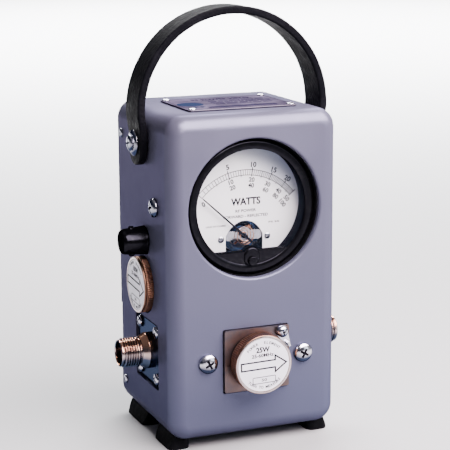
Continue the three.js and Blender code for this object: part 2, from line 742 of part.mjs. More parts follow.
function movementBridge() {
  const front = -21.3;
  const thick = 1.2;
  const bar = frontSlab(roundedRect(21, 5, 2.4, 0, PIVOT_Z), front, thick, 3);
  const arch = frontSlab(roundedRect(9, 9, 4.4, 0, PIVOT_Z), front, thick, 3);
  const hole = turnedY(rod(1.8, front - 1, front + thick + 1), 8).translate(0, 0, PIVOT_Z);
  const posts = [-1, 1].map((sign) =>
    turnedY(rod(1.2, front + 0.5, -18.8), 8).translate(sign * 8.7, 0, PIVOT_Z),
  );
  return cut(join(bar, arch, ...posts), hole);
}

function magnet() {
  const profile = [
    [0, -17.5],
    [CORE_RADIUS, -17.5],
    [CORE_RADIUS, -5],
    [MAGNET_BORE, -5],
    [MAGNET_BORE, -18.5],
    [MAGNET_RADIUS, -18.5],
    [MAGNET_RADIUS, 8],
    [0, 8],
  ];
  return turnedY(profile, 20).translate(0, 0, PIVOT_Z);
}

function zeroAdjuster() {
  const front = BEZEL_FRONT - 0.4 - GAP;
  const end = -27.2;
  const head = [[0, front - 1.2], [2.2, front - 1.2], [2.6, front - 0.7], [2.6, front]];
  const profile = [...head, [1.6, front], [1.6, end], [0, end]];
  const slot = box(6, 1.4, 0.7, 0, front - 1.3, 0);
  const pin = turnedY(rod(0.5, -27.4, -26), 8).translate(0, 0, 1);
  return join(cut(turnedY(profile, 12), slot), pin).translate(0, 0, ADJUSTER_Z);
}

add("meter_case", meterCase(), bakelite);
add("meter_window", meterWindow(), glass);
add("dial_plate", dialPlate(), white);
const needle = add("pointer", pointer(), black);
needle.position.z = PIVOT_Z;
needle.rotation.y = THREE.MathUtils.degToRad(POINTER_REST);
add("hairspring", hairspring(), copper);
add("movement_bridge", movementBridge(), steel);
add("magnet", magnet(), iron);
add("zero_adjuster", zeroAdjuster(), bakelite);

// Rubber ring and metal clamp that hold the meter behind the front wall.
const shockProfile = [[35.7, -34], [38.6, -34], [38.6, -23], [35.7, -23], [35.7, -34]];
add("shock_ring", turnedY(shockProfile, 28).translate(0, 0, METER_Z), rubber);

function meterClamp() {
  const front = -28;
  const back = -22.6;
  const profile = [[39, front], [43, front], [43, back], [39, back], [39, front]];
  const band = turnedY(profile, 28).translate(0, 0, METER_Z);
  const lugs = [-1, 1].map((sign) => box(3, 17, 10, sign * 41.6, front + 8.5, SIDE_SCREW_Z));
  const hole = turnedX(rod(SHANK_HOLE, -50, 50), 8).translate(0, SIDE_SCREW_Y, SIDE_SCREW_Z);
  return cut(join(band, ...lugs), hole);
}

add("meter_clamp", meterClamp(), plateMetal);

// The shielded lead from the jack to the back of the meter.
function meterLead() {
  const route = new THREE.CatmullRomCurve3(
    [
      [27.4, JACK_Y, LINE_Z],
      [32, JACK_Y, LINE_Z + 1],
      [35.5, JACK_Y, LINE_Z + 8],
      [36, -21, 66],
      [34, -8, 76],
      [31, 10, 84],
      [24, 22, 97],
      [13, 24, 110],
      [9, 18, 117],
      [9, 12.4, 118],
    ].map((point) => new THREE.Vector3(...point)),
  );
  const circle = new THREE.Shape().absarc(0, 0, 1.8, 0, 2 * Math.PI);
  return new THREE.ExtrudeGeometry(circle, { steps: 26, curveSegments: 2, extrudePath: route });
}

add("meter_lead", meterLead(), rubber);

export default model;
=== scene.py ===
"""The portable radio power meter's looks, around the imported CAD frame. Millimetres until build()."""

import json
import math

import bmesh
import bpy
from mathutils import Matrix, Vector


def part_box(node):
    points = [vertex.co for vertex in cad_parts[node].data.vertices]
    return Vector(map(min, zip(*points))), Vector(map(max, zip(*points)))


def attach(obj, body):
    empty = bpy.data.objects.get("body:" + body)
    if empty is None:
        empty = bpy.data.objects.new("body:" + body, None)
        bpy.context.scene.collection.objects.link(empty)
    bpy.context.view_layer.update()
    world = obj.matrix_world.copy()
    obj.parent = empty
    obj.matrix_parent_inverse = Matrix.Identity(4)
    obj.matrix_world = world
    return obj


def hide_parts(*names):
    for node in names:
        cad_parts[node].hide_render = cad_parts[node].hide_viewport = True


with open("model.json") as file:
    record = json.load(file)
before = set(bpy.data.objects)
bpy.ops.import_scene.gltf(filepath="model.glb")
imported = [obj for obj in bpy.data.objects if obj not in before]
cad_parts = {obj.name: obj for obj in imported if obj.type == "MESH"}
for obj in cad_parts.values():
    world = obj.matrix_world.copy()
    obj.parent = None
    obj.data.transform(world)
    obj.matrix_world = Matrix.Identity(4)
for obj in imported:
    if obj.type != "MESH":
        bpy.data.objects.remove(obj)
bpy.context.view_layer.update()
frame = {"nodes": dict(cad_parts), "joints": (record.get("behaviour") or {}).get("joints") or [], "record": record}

MM = 0.001
record = frame["record"]
BODY_OF = {node: body for body, nodes in record["behaviour"]["bodies"].items() for node in nodes}
SLOT_OF = {part["node"]: part["material_slot"] for part in record["subparts"]}
JOINT = {joint["name"]: joint for joint in frame["joints"]}


def low(node):
    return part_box(node)[0] / MM


def high(node):
    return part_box(node)[1] / MM


def middle(node):
    return (low(node) + high(node)) / 2


def joint_point(name):
    return Vector(JOINT[name]["pos_m"]) / MM


# ---------- camera ----------
# Place and target in metres, lens in millimetres and roll in degrees, fitted to the photo's edges.
CAMERA_PLACE, CAMERA_TARGET = Vector((-0.29482, -0.72522, 0.27906)), Vector((0, 0.003, 0.10963))
CAMERA_LENS, CAMERA_SHIFT, CAMERA_ROLL = 120.39, -0.0015, -0.31


def make_camera():
    data = bpy.data.cameras.new("camera")
    data.lens = CAMERA_LENS
    data.sensor_width = 36
    data.shift_x = CAMERA_SHIFT
    data.clip_start = 0.01
    data.clip_end = 100
    camera = bpy.data.objects.new("camera", data)
    bpy.context.scene.collection.objects.link(camera)
    turn = (CAMERA_TARGET - CAMERA_PLACE).to_track_quat("-Z", "Y").to_matrix().to_4x4()
    roll = Matrix.Rotation(math.radians(CAMERA_ROLL), 4, "Z")
    camera.matrix_world = Matrix.Translation(CAMERA_PLACE) @ turn @ roll
    bpy.context.scene.camera = camera


make_camera()

# ---------- solids: (points, faces) ----------
PLANES = {
    "xz": lambda u, v, w: (u, w, v),
    "yz": lambda u, v, w: (w, u, v),
    "xy": lambda u, v, w: (u, v, w),
}


def joined(*solids):
    points, faces = [], []
    for some_points, some_faces in solids:
        base = len(points)
        points += list(some_points)
        faces += [tuple(i + base for i in face) for face in some_faces]
    return points, faces


def moved(solid, matrix):
    return [tuple(matrix @ Vector(p)) for p in solid[0]], solid[1]


def shifted(solid, x, y, z):
    return moved(solid, Matrix.Translation((x, y, z)))


def aim(point, direction, spin=0.0):
    """Turns +Z to a direction and moves the origin to a point."""
    turn = Vector((0, 0, 1)).rotation_difference(Vector(direction)).to_matrix().to_4x4()
    return Matrix.Translation(point) @ turn @ Matrix.Rotation(spin, 4, "Z")


def along_y(z, x=0, y=0):
    """Turns +Z to +Y, from a point."""
    return aim((x, y, z), (0, 1, 0))


def lathe(profile, segments=64, wave=None):
    """A profile of (radius, height), turned about Z. wave(angle, radius, height) may change the radius."""
    loop = profile[0] == profile[-1]
    stations = profile[:-1] if loop else profile
    points, rows, faces = [], [], []
    for radius, height in stations:
        if radius < 1e-6:
            rows.append([len(points)] * segments)
            points.append((0, 0, height))
            continue
        rows.append(list(range(len(points), len(points) + segments)))
        for j in range(segments):
            angle = 2 * math.pi * j / segments
            r = wave(angle, radius, height) if wave else radius
            points.append((r * math.cos(angle), r * math.sin(angle), height))
    for a, b in zip(rows, rows[1:] + (rows[:1] if loop else [])):
        for j in range(segments):
            k = (j + 1) % segments
            face = tuple(dict.fromkeys((a[j], a[k], b[k], b[j])))
            if len(face) > 2:
                faces.append(face)
    return points, faces


def rod(radius, start, end, place, segments=32):
    """A round bar from start to end along the Z of a place."""
    return moved(lathe([(0, start), (radius, start), (radius, end), (0, end)], segments), place)


def loft(rings, capped=True, cyclic=False):
    """A skin over rings with as many points each."""
    count = len(rings[0])
    points = [p for ring in rings for p in ring]
    faces = []
    for i in range(len(rings) if cyclic else len(rings) - 1):
        a, b = i * count, (i + 1) % len(rings) * count
        for j in range(count):
            k = (j + 1) % count
            faces.append((a + j, a + k, b + k, b + j))
    if capped and not cyclic:
        faces.append(tuple(reversed(range(count))))
        faces.append(tuple(range(len(points) - count, len(points))))
    return points, faces


def fillet(outline, radius, steps=4, loop=False, keep=()):
    """Rounds the corners of a line or loop of 2-D points."""
    out = []
    count = len(outline)
    for i, point in enumerate(outline):
        if i in keep or (not loop and i in (0, count - 1)):
            out.append(tuple(point))
            continue
        before, corner, after = Vector(outline[i - 1]), Vector(point), Vector(outline[(i + 1) % count])
        back, ahead = before - corner, after - corner
        reach = min(radius, back.length * 0.49, ahead.length * 0.49)
        start, end = corner + back.normalized() * reach, corner + ahead.normalized() * reach
        for step in range(steps + 1):
            t = step / steps
            out.append(tuple(start * (1 - t) ** 2 + corner * (2 * t * (1 - t)) + end * t * t))
    return out


def circle(radius, x=0.0, y=0.0, steps=48):
    turns = [2 * math.pi * i / steps for i in range(steps)]
    return [(x + radius * math.cos(a), y + radius * math.sin(a)) for a in turns]


def round_rect(width, height, radius, x=0.0, y=0.0, steps=8):
    out = []
    corners = ((1, -1, -90), (1, 1, 0), (-1, 1, 90), (-1, -1, 180))
    for sx, sy, start in corners:
        cx, cy = x + sx * (width / 2 - radius), y + sy * (height / 2 - radius)
        for step in range(steps + 1):
            angle = math.radians(start + 90 * step / steps)
            out.append((cx + radius * math.cos(angle), cy + radius * math.sin(angle)))
    return out


def prism(outline, start, end, plane):
    place = PLANES[plane]
    return loft([[place(u, v, w) for u, v in outline] for w in (start, end)])


def brick(width, depth, height, x, y, z):
    return prism(round_rect(width, depth, 0.001, x, y, steps=1), z - height / 2, z + height / 2, "xy")


def ring_prism(outer, inner, start, end, plane):
    """The flat band between two outlines with as many points each, with a thickness."""
    place = PLANES[plane]
    rings = [[place(u, v, w) for u, v in line] for line, w in
             ((outer, start), (outer, end), (inner, end), (inner, start))]
    return loft(rings, cyclic=True)


def tube(path, radius, sides=10, closed_ends=True):
    """A round bar along a path of points."""
    points = [Vector(p) for p in path]
    rings, normal = [], None
    for i, point in enumerate(points):
        ahead = (points[min(i + 1, len(points) - 1)] - points[max(i - 1, 0)]).normalized()
        if normal is None:
            normal = ahead.orthogonal().normalized()
        normal = (normal - ahead * normal.dot(ahead)).normalized()
        across = ahead.cross(normal)
        turns = [2 * math.pi * j / sides for j in range(sides)]
        rings.append([tuple(point + (normal * math.cos(a) + across * math.sin(a)) * radius) for a in turns])
    return loft(rings, capped=closed_ends)


# ---------- meshes ----------
def mesh_of(solid):
    mesh = bpy.data.meshes.new("work")
    mesh.from_pydata([tuple(p) for p in solid[0]], [], solid[1])
    work = bmesh.new()
    work.from_mesh(mesh)
    bmesh.ops.remove_doubles(work, verts=work.verts, dist=1e-5)
    bmesh.ops.recalc_face_normals(work, faces=work.faces)
    work.to_mesh(mesh)
    work.free()
    return mesh


def combined(mesh, solids, operation):
    """A mesh with each solid cut away, added or kept in common."""
    scene = bpy.context.scene
    target = bpy.data.objects.new("work", mesh)
    scene.collection.objects.link(target)
    helpers = []
    for solid in solids:
        helper = bpy.data.objects.new("helper", mesh_of(solid))
        scene.collection.objects.link(helper)
        helpers.append(helper)
        modifier = target.modifiers.new("combine", "BOOLEAN")
        modifier.operation = operation
        modifier.solver = "EXACT"
        modifier.object = helper
    bpy.context.view_layer.update()
    graph = bpy.context.evaluated_depsgraph_get()
    result = bpy.data.meshes.new_from_object(target.evaluated_get(graph))
    for helper in [target, *helpers]:
        bpy.data.objects.remove(helper)
    return result


def build(name, solid, look, body, slot=None, stands_for=(), cut=(), add=(), common=(), bevel=0.0, sharp=32,
          segments=2):
    """One visible piece: a solid in millimetres, changed by others, with its material and body. Its slot is not
    used.
    """
    mesh = mesh_of(solid) if isinstance(solid, tuple) else solid.copy()
    for solids, operation in ((add, "UNION"), (common, "INTERSECT"), (cut, "DIFFERENCE")):
        if solids:
            mesh = combined(mesh, solids, operation)
    mesh.transform(Matrix.Scale(MM, 4))
    mesh.name = name
    mesh.materials.clear()
    mesh.materials.append(look)
    for polygon in mesh.polygons:
        polygon.use_smooth = True
        polygon.material_index = 0
    mesh.set_sharp_from_angle(angle=math.radians(sharp))
    piece = bpy.data.objects.new(name, mesh)
    bpy.context.scene.collection.objects.link(piece)
    if bevel:
        modifier = piece.modifiers.new("edges", "BEVEL")
        modifier.width = bevel * MM
        modifier.segments = segments
        modifier.limit_method = "ANGLE"
        modifier.angle_limit = math.radians(sharp)
        modifier.use_clamp_overlap = True
    weighted = piece.modifiers.new("normals", "WEIGHTED_NORMAL")
    weighted.keep_sharp = not bevel
    weighted.weight = 80
    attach(piece, body)
    if stands_for:
        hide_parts(*stands_for)
    return piece


def finer(node, solid, look=None, **changes):
    """A finer piece that stands for a CAD node, on its body, with its slot's look unless another is given."""
    slot = SLOT_OF[node]
    return build("fine_" + node, solid, look or LOOKS[slot], BODY_OF[node], slot, (node,), **changes)


def extra(name, near, solid, look, slot=None, **changes):
    """A small piece that has no CAD node and rides with one."""
    return build(name, solid, look, BODY_OF[near], slot, **changes)


# ---------- materials ----------
class Look:
    """A node material with a few short words for what the pieces need. Scales are per metre."""

    def __init__(self, name, colour, roughness, metallic=0.0, **more):
        self.material = bpy.data.materials.new(name)
        self.material.use_nodes = True
        self.nodes = self.material.node_tree.nodes
        self.links = self.material.node_tree.links
        self.surface = self.nodes["Principled BSDF"]
        self.surface.inputs["Metallic"].default_value = metallic
        self.surface.inputs["Roughness"].default_value = roughness
        self.surface.inputs["Base Color"].default_value = (*colour, 1)
        self.place = self.nodes.new("ShaderNodeTexCoord").outputs["Object"]
        for key, value in more.items():
            self.surface.inputs[key].default_value = value

    def along(self, direction):
        """How far a point lies along a direction of the object, in metres."""
        lean = self.nodes.new("ShaderNodeVectorMath")
        lean.operation = "DOT_PRODUCT"
        lean.inputs[1].default_value = direction
        self.links.new(self.place, lean.inputs[0])
        return lean.outputs["Value"]

    def stretched(self, x, y, z):
        node = self.nodes.new("ShaderNodeMapping")
        node.inputs["Scale"].default_value = (x, y, z)
        self.links.new(self.place, node.inputs["Vector"])
        return node.outputs["Vector"]

    def noise(self, scale, detail=3.0, place=None, distortion=0.0):
        node = self.nodes.new("ShaderNodeTexNoise")
        node.inputs["Scale"].default_value = scale
        node.inputs["Detail"].default_value = detail
        node.inputs["Distortion"].default_value = distortion
        self.links.new(place or self.place, node.inputs["Vector"])
        return node.outputs["Fac"]

    def cells(self, scale, feature="F1", place=None):
        node = self.nodes.new("ShaderNodeTexVoronoi")
        node.feature = feature
        node.inputs["Scale"].default_value = scale
        self.links.new(place or self.place, node.inputs["Vector"])
        return node.outputs["Distance"]

    def level(self, value, start, end, out_start, out_end):
        node = self.nodes.new("ShaderNodeMapRange")
        numbers = (start, end, out_start, out_end)
        for key, number in zip(("From Min", "From Max", "To Min", "To Max"), numbers):
            node.inputs[key].default_value = number
        self.links.new(value, node.inputs["Value"])
        return node.outputs["Result"]

    def facing(self, axis):
        """How far the surface faces along an axis: 1 along it, 0 across, -1 against it."""
        split = self.nodes.new("ShaderNodeSeparateXYZ")
        self.links.new(self.nodes.new("ShaderNodeNewGeometry").outputs["Normal"], split.inputs["Vector"])
        return split.outputs[axis]

    def math(self, operation, a, b):
        node = self.nodes.new("ShaderNodeMath")
        node.operation = operation
        for socket, value in zip(node.inputs, (a, b)):
            if isinstance(value, (int, float)):
                socket.default_value = value
            else:
                self.links.new(value, socket)
        return node.outputs["Value"]

    def blend(self, fac, a, b):
        """A colour between a and b; each is a colour or an earlier blend."""
        node = self.nodes.new("ShaderNodeMix")
        node.data_type = "RGBA"
        self.links.new(fac, node.inputs["Factor"])
        for socket, value in ((node.inputs[6], a), (node.inputs[7], b)):
            if isinstance(value, tuple):
                socket.default_value = (*value, 1)
            else:
                self.links.new(value, socket)
        return node.outputs[2]

    def colour(self, value):
        self.links.new(value, self.surface.inputs["Base Color"])
        return self

    def roughness(self, value):
        self.links.new(value, self.surface.inputs["Roughness"])
        return self

    def bump(self, height, depth, strength=1.0):
        """Depth in millimetres. Each call adds to the bumps before it."""
        node = self.nodes.new("ShaderNodeBump")
        node.inputs["Strength"].default_value = strength
        node.inputs["Distance"].default_value = depth * MM
        self.links.new(height, node.inputs["Height"])
        normal = self.surface.inputs["Normal"]
        if normal.links:
            self.links.new(normal.links[0].from_socket, node.inputs["Normal"])
        self.links.new(node.outputs["Normal"], normal)
        return self


def paint_look(name, light, dark, chip, low):
    """Satin paint with fine flakes, and painted shade that darkens it a little towards the housing's foot.

    It is half metallic with a dark edge tint, which keeps the pale floor's glancing reflection off the sides.
    """
    look = Look(name, light, 0.4, 0.5, **{"Specular IOR Level": 0.0, "Specular Tint": (0.36, 0.34, 0.36, 1)})
    cloud = look.level(look.noise(14, 4), 0.35, 0.65, 0, 1)
    tone = look.blend(cloud, light, dark)
    speck = look.level(look.noise(2600, 2), 0.60, 0.72, 0, 0.22)
    tone = look.blend(speck, tone, chip)
    # Painted shade: the colour darkens to the last colour towards the bottom of the housing.
    look.colour(look.blend(look.level(look.along((0, 0, 1)), 0.02, 0.17, 0.5, 0), tone, low))
    look.roughness(look.level(look.noise(70, 5), 0.3, 0.7, 0.3, 0.4))
    look.bump(look.noise(900, 2), 0.035, 0.5)
    look.bump(look.noise(5200, 2), 0.01, 0.5)
    return look.material


def metal_look(name, colour, tint, roughness, grain=(1, 1, 1), grain_scale=900, wear=0.1, scratch=0.004,
               under=None, over=None, edge_on=(1, 1, 1)):
    """Bare or plated metal with a fine grain that may run along one axis, and a mottled tone.

    Faces that look down take the colour under. With over, those that look up take it, and those that look
    sideways take under. Both stand in for the room that the photo's parts reflect. edge_on dims glancing light.
    """
    look = Look(name, colour, roughness, 1.0, **{"Specular Tint": (*edge_on, 1)})
    mottle = look.level(look.noise(170, 5, distortion=0.6), 0.38, 0.66, 0, 1)
    tone = look.blend(mottle, colour, tint)
    if over:
        tone = look.blend(look.level(look.facing("Z"), 0.15, 0.45, 0, 1), tone, over)
        sideways = look.math("ABSOLUTE", look.facing("X"), 0)
        tone = look.blend(look.level(sideways, 0.8, 0.95, 0, 1), tone, under)
    if under:
        tone = look.blend(look.level(look.facing("Z"), -0.28, 0.0, 0, 1), under, tone)
    look.colour(tone)
    lines = look.noise(grain_scale, 4, look.stretched(*grain))
    smudge = look.noise(95, 5)
    rough = look.math("ADD", look.level(lines, 0.3, 0.7, roughness, roughness + wear * 0.6),
                      look.level(smudge, 0.4, 0.7, 0, wear))
    look.roughness(rough)
    look.bump(lines, scratch, 0.6)
    return look.material


def rubber_look(name, colour, pale):
    look = Look(name, colour, 0.62, **{"Specular IOR Level": 0.03})
    dust = look.level(look.noise(120, 6), 0.5, 0.8, 0, 0.5)
    look.colour(look.blend(dust, colour, pale))
    look.roughness(look.level(look.noise(300, 4), 0.3, 0.7, 0.52, 0.75))
    look.bump(look.noise(2400, 3), 0.03, 0.6)
    return look.material


def leather_look():
    dark, pale = (0.0025, 0.0025, 0.0038), (0.012, 0.0115, 0.015)
    look = Look("pebbled_leather", dark, 0.5, **{"Specular IOR Level": 0.02})
    pebble = look.cells(820, "SMOOTH_F1")
    crease = look.level(pebble, 0.25, 0.75, 1, 0)
    worn = look.level(look.noise(60, 5), 0.45, 0.75, 0, 0.6)
    look.colour(look.blend(look.math("MULTIPLY", worn, crease), dark, pale))
    look.roughness(look.level(look.noise(200, 4), 0.3, 0.7, 0.42, 0.62))
    look.bump(crease, 0.16, 0.8)
    look.bump(look.noise(240, 4), 0.25, 0.4)
    return look.material


def bakelite_look():
    look = Look("black_bakelite", (0.010, 0.010, 0.013), 0.2, 0.85,
                **{"Specular IOR Level": 0.0, "Specular Tint": (0, 0, 0, 1)})
    haze = look.level(look.noise(80, 6), 0.35, 0.75, 0.13, 0.26)
    look.roughness(haze)
    look.colour(look.blend(look.level(look.noise(500, 4), 0.55, 0.75, 0, 1), (0.010, 0.010, 0.013),
                           (0.018, 0.018, 0.021)))
    look.bump(look.noise(420, 2), 0.012, 0.4)
    return look.material


def dial_look():
    """White paper, with painted shade in blue towards its upper right edge."""
    look = Look("dial_white", (0.86, 0.87, 0.93), 0.42)
    paper = look.blend(look.level(look.noise(40, 4), 0.4, 0.7, 0, 1), (0.95, 0.96, 1.0), (0.92, 0.93, 0.97))
    across = (0.62, 0, 0.78)
    centre = across[2] * middle("meter_case").z * MM
    # Painted shade: blue towards the upper right edge of the dial.
    painted_shade = look.level(look.along(across), centre + 0.015, centre + 0.029, 0, 0.8)
    look.colour(look.blend(painted_shade, paper, (0.20, 0.26, 0.42)))
    look.roughness(look.level(look.noise(300, 4), 0.3, 0.7, 0.38, 0.5))
    look.bump(look.noise(3000, 2), 0.004, 0.4)
    return look.material


def ink_look(name, dark, pale):
    look = Look(name, dark, 0.5, **{"Specular IOR Level": 0.0})
    patchy = look.level(look.noise(1500, 4), 0.45, 0.8, 0, 0.6)
    look.colour(look.blend(patchy, dark, pale))
    look.roughness(look.level(look.noise(900, 3), 0.3, 0.7, 0.4, 0.6))
    return look.material


def label_look():
    look = Look("label_silver", (0.8, 0.8, 0.86), 0.4, 0.1)
    look.colour(look.blend(look.level(look.noise(90, 4), 0.4, 0.7, 0, 1), (0.80, 0.80, 0.88),
                           (0.72, 0.72, 0.81)))
    look.roughness(look.level(look.noise(1200, 3, look.stretched(0.06, 1, 1)), 0.3, 0.7, 0.32, 0.46))
    look.bump(look.noise(1600, 3, look.stretched(0.06, 1, 1)), 0.003, 0.5)
    return look.material


def plastic_look(name, colour, other, roughness):
    look = Look(name, colour, roughness)
    look.colour(look.blend(look.level(look.noise(150, 4), 0.4, 0.7, 0, 1), colour, other))
    look.roughness(look.level(look.noise(400, 3), 0.3, 0.7, roughness - 0.08, roughness + 0.1))
    look.bump(look.noise(1100, 2), 0.01, 0.4)
    return look.material


def glass_look():
    look = Look("window_glass", (0.01, 0.015, 0.03), 0.03, **{"Alpha": 0.08, "IOR": 1.5})
    look.roughness(look.level(look.noise(60, 5), 0.4, 0.75, 0.02, 0.07))
    return look.material


EVEN, LENGTHWISE = (1, 1, 1), (0.05, 1, 1)
LOOKS = {
    # The paint's last colour is the painted shade towards the foot of the housing.
    "grey_paint": paint_look("grey_paint", (0.112, 0.110, 0.160), (0.102, 0.101, 0.150),
                             (0.15, 0.148, 0.205), (0.040, 0.054, 0.104)),
    "nameplate_metal": metal_look("nameplate_metal", (0.098, 0.086, 0.112), (0.076, 0.068, 0.094), 0.3,
                                  (0.04, 1, 1), 1500, 0.12, edge_on=(0.35, 0.33, 0.38)),
    "strap_leather": leather_look(),
    "line_brass": metal_look("line_brass", (0.095, 0.078, 0.085), (0.13, 0.09, 0.082), 0.26,
                             LENGTHWISE, 1500, 0.16),
    "cap_brass": metal_look("cap_brass", (0.24, 0.12, 0.076), (0.135, 0.075, 0.054), 0.26, EVEN, 900, 0.18),
    "silver_plate": metal_look("silver_plate", (0.60, 0.50, 0.49), (0.52, 0.36, 0.31), 0.12, EVEN, 700, 0.12,
                               under=(0.05, 0.068, 0.11), over=(0.46, 0.25, 0.17), edge_on=(0.42, 0.42, 0.45)),
    "bright_steel": metal_look("bright_steel", (0.62, 0.62, 0.69), (0.54, 0.54, 0.62), 0.1, EVEN, 800, 0.1,
                               under=(0.03, 0.042, 0.08), edge_on=(0.5, 0.5, 0.54)),
    "black_bakelite": bakelite_look(),
    "black_rubber": rubber_look("black_rubber", (0.003, 0.003, 0.004), (0.010, 0.010, 0.013)),
    "lead_rubber": rubber_look("lead_rubber", (0.014, 0.014, 0.015), (0.03, 0.03, 0.03)),
    "window_glass": glass_look(),
    "dial_white": dial_look(),
    "pointer_black": ink_look("black_ink", (0.004, 0.004, 0.006), (0.02, 0.02, 0.028)),
    "spring_bronze": metal_look("spring_bronze", (0.85, 0.45, 0.28), (0.6, 0.3, 0.18), 0.2, EVEN, 900, 0.1),
    "magnet_iron": metal_look("magnet_iron", (0.045, 0.09, 0.19), (0.03, 0.05, 0.11), 0.24, EVEN, 600, 0.12),
    "white_ptfe": plastic_look("white_ptfe", (0.86, 0.86, 0.82), (0.78, 0.78, 0.75), 0.4),
}
LABEL = label_look()
RIM = metal_look("rim_silver", (0.60, 0.53, 0.53), (0.50, 0.42, 0.42), 0.12, EVEN, 700, 0.12)
BLUE_INK = ink_look("blue_ink", (0.010, 0.015, 0.034), (0.016, 0.024, 0.05))
SLATE_INK = ink_look("slate_ink", (0.014, 0.012, 0.026), (0.03, 0.028, 0.045))
INK = LOOKS["pointer_black"]
STEEL = LOOKS["bright_steel"]

# ---------- housing ----------
SHELL_LOW, SHELL_HIGH = low("housing_shell"), high("housing_shell")
SIDE = SHELL_HIGH.x
FRONT = SHELL_LOW.y
SHELL_BACK = SHELL_HIGH.y
BOTTOM, TOP = SHELL_LOW.z, SHELL_HIGH.z
MIDDLE_Z = (BOTTOM + TOP) / 2
CORNER, FRONT_EDGE, WALL = 10.0, 8.0, 3.0
METER_Z = low("meter_case").z + (high("meter_case").z - low("meter_case").z) / 2
LINE_Z = middle("centre_conductor").z
PLATE_Z = high("line_body").z - 16.5
GAP = 0.3


def outline(inset, steps=10):
    radius = max(CORNER - inset, 0.6)
    return round_rect(2 * (SIDE - inset), TOP - BOTTOM - 2 * inset, radius, 0, MIDDLE_Z, steps)


def rounded_front(inset, front, edge, back, steps=10):
    """Rings from the flat front face round its edge and straight back."""
    rings = []
    for step in range(steps + 1):
        angle = math.pi / 2 * step / steps
        extra_inset = edge * (1 - math.sin(angle))
        y = front + edge * (1 - math.cos(angle))
        rings.append([(x, y, z) for x, z in outline(inset + extra_inset)])
    rings.append([(x, back, z) for x, z in outline(inset)])
    return rings


def housing_shell():
    outer = rounded_front(0, FRONT, FRONT_EDGE, SHELL_BACK - 0.3)
    outer.append([(x, SHELL_BACK, z) for x, z in outline(0.3)])
    inner = rounded_front(WALL, FRONT + WALL, FRONT_EDGE - WALL, SHELL_BACK - 0.2, 5)
    inner.append([(x, SHELL_BACK, z) for x, z in outline(WALL - 0.2)])
    shell = loft(outer + inner[::-1])
    lip, throat = 37.5, 36.0
    curve = [(lip - (lip - throat) * math.sin(a), FRONT + 1.7 * (1 - math.cos(a)))
             for a in [math.pi / 2 * i / 6 for i in range(7)]]
    opening = [(0, FRONT - 2), (lip, FRONT - 2), *curve, (throat, FRONT + 8), (0, FRONT + 8)]
    plate = round_rect(36.6, 34.3, 1.0, 0, PLATE_Z - 0.35, 4)
    port = round_rect(35.4, 35.4, 1.6, 0, LINE_Z, 4)
    spare = middle("spare_cap")
    left = (-SIDE - 2, -SIDE + WALL + 2)
    spare_hole = circle(15.4, spare.y, spare.z, 96)
    return shell, [
        moved(lathe(opening, 128), along_y(METER_Z)),
        prism(plate, FRONT - 2, FRONT + 6, "xz"),
        prism(port, *left, "yz"),
        prism(port, SIDE - WALL - 2, SIDE + 2, "yz"),
        prism(spare_hole, *left, "yz"),
    ]


shell_solid, shell_cuts = housing_shell()
finer("housing_shell", shell_solid, cut=shell_cuts, sharp=40)


def rear_cover():
    y0, y1 = SHELL_BACK + GAP, high("rear_cover").y
    soft = 0.8
    rings = [[(x, y0, z) for x, z in outline(0.2)]]
    for step in range(6):
        angle = math.pi / 2 * step / 5
        rings.append([(x, y1 - soft * (1 - math.sin(angle)), z)
                      for x, z in outline(0.2 + soft * (1 - math.cos(angle)))])
    plate = loft(rings)
    flange = ring_prism(outline(WALL + GAP), outline(WALL + GAP + 1.2), low("rear_cover").y, y0 + 0.3, "xz")
    notches = [brick(5.2, 20, 32.5, sign * SIDE, y1, LINE_Z - 0.25) for sign in (-1, 1)]
    return plate, flange, notches


cover_plate, cover_flange, cover_notches = rear_cover()
finer("rear_cover", cover_plate, add=[cover_flange], cut=cover_notches, sharp=40)


# ---------- screws ----------
def phillips(head, height, shank, length, cross=0.66):
    """A pan-head screw along +Z with a cross recess. The head's underside is at 0."""
    profile = [(0, -length), (shank * 0.8, -length), (shank, -length + 0.4), (shank, 0), (head * 0.97, 0)]
    for step in range(9):
        angle = math.pi / 2 * step / 8
        flat = 0.18
        profile.append((head * math.cos(angle) ** 0.8, height * (flat + (1 - flat) * math.sin(angle))))
    profile[-1] = (0, height)
    mesh = mesh_of(lathe(profile, 40))
    for turn in (0, math.pi / 2):
        reach, half, floor = head * cross, head * 0.135, height * 0.08
        top = [(reach, half), (-reach, half), (-reach, -half), (reach, -half)]
        deep = [(u * 0.4, v * 0.7) for u, v in top]
        cutter = loft([[(u, v, floor) for u, v in deep], [(u * 1.25, v, height * 1.3) for u, v in top]])
        mesh = combined(mesh, [moved(cutter, Matrix.Rotation(turn, 4, "Z"))], "DIFFERENCE")
    return mesh


def put_screw(name, mesh, point, direction, spin, node=None, near="housing_shell", dark=None):
    """A screw, its head's underside at a point. dark is the reach, half width and top of a black cross of painted
    shade in it.
    """
    mesh = mesh.copy()
    place = aim(point, direction, math.radians(spin))
    mesh.transform(place)
    if dark:
        # Painted shade: a black cross fills the cross recess, where shade falls.
        reach, half, top = dark
        cross = [brick(2 * u, 2 * v, top, 0, 0, top / 2) for u, v in ((reach, half), (half, reach))]
        shade = combined(mesh_of(cross[0]), cross[1:], "UNION")
        shade.transform(place)
        extra(name + "_recess_painted_shade", node or near, shade, INK, "bright_steel")
    if node:
        return finer(node, mesh, STEEL, sharp=38)
    return extra(name, near, mesh, STEEL, "bright_steel", sharp=38)


FORWARD = Vector((0, -1, 0))
SIDES = (("left", -1), ("right", 1))


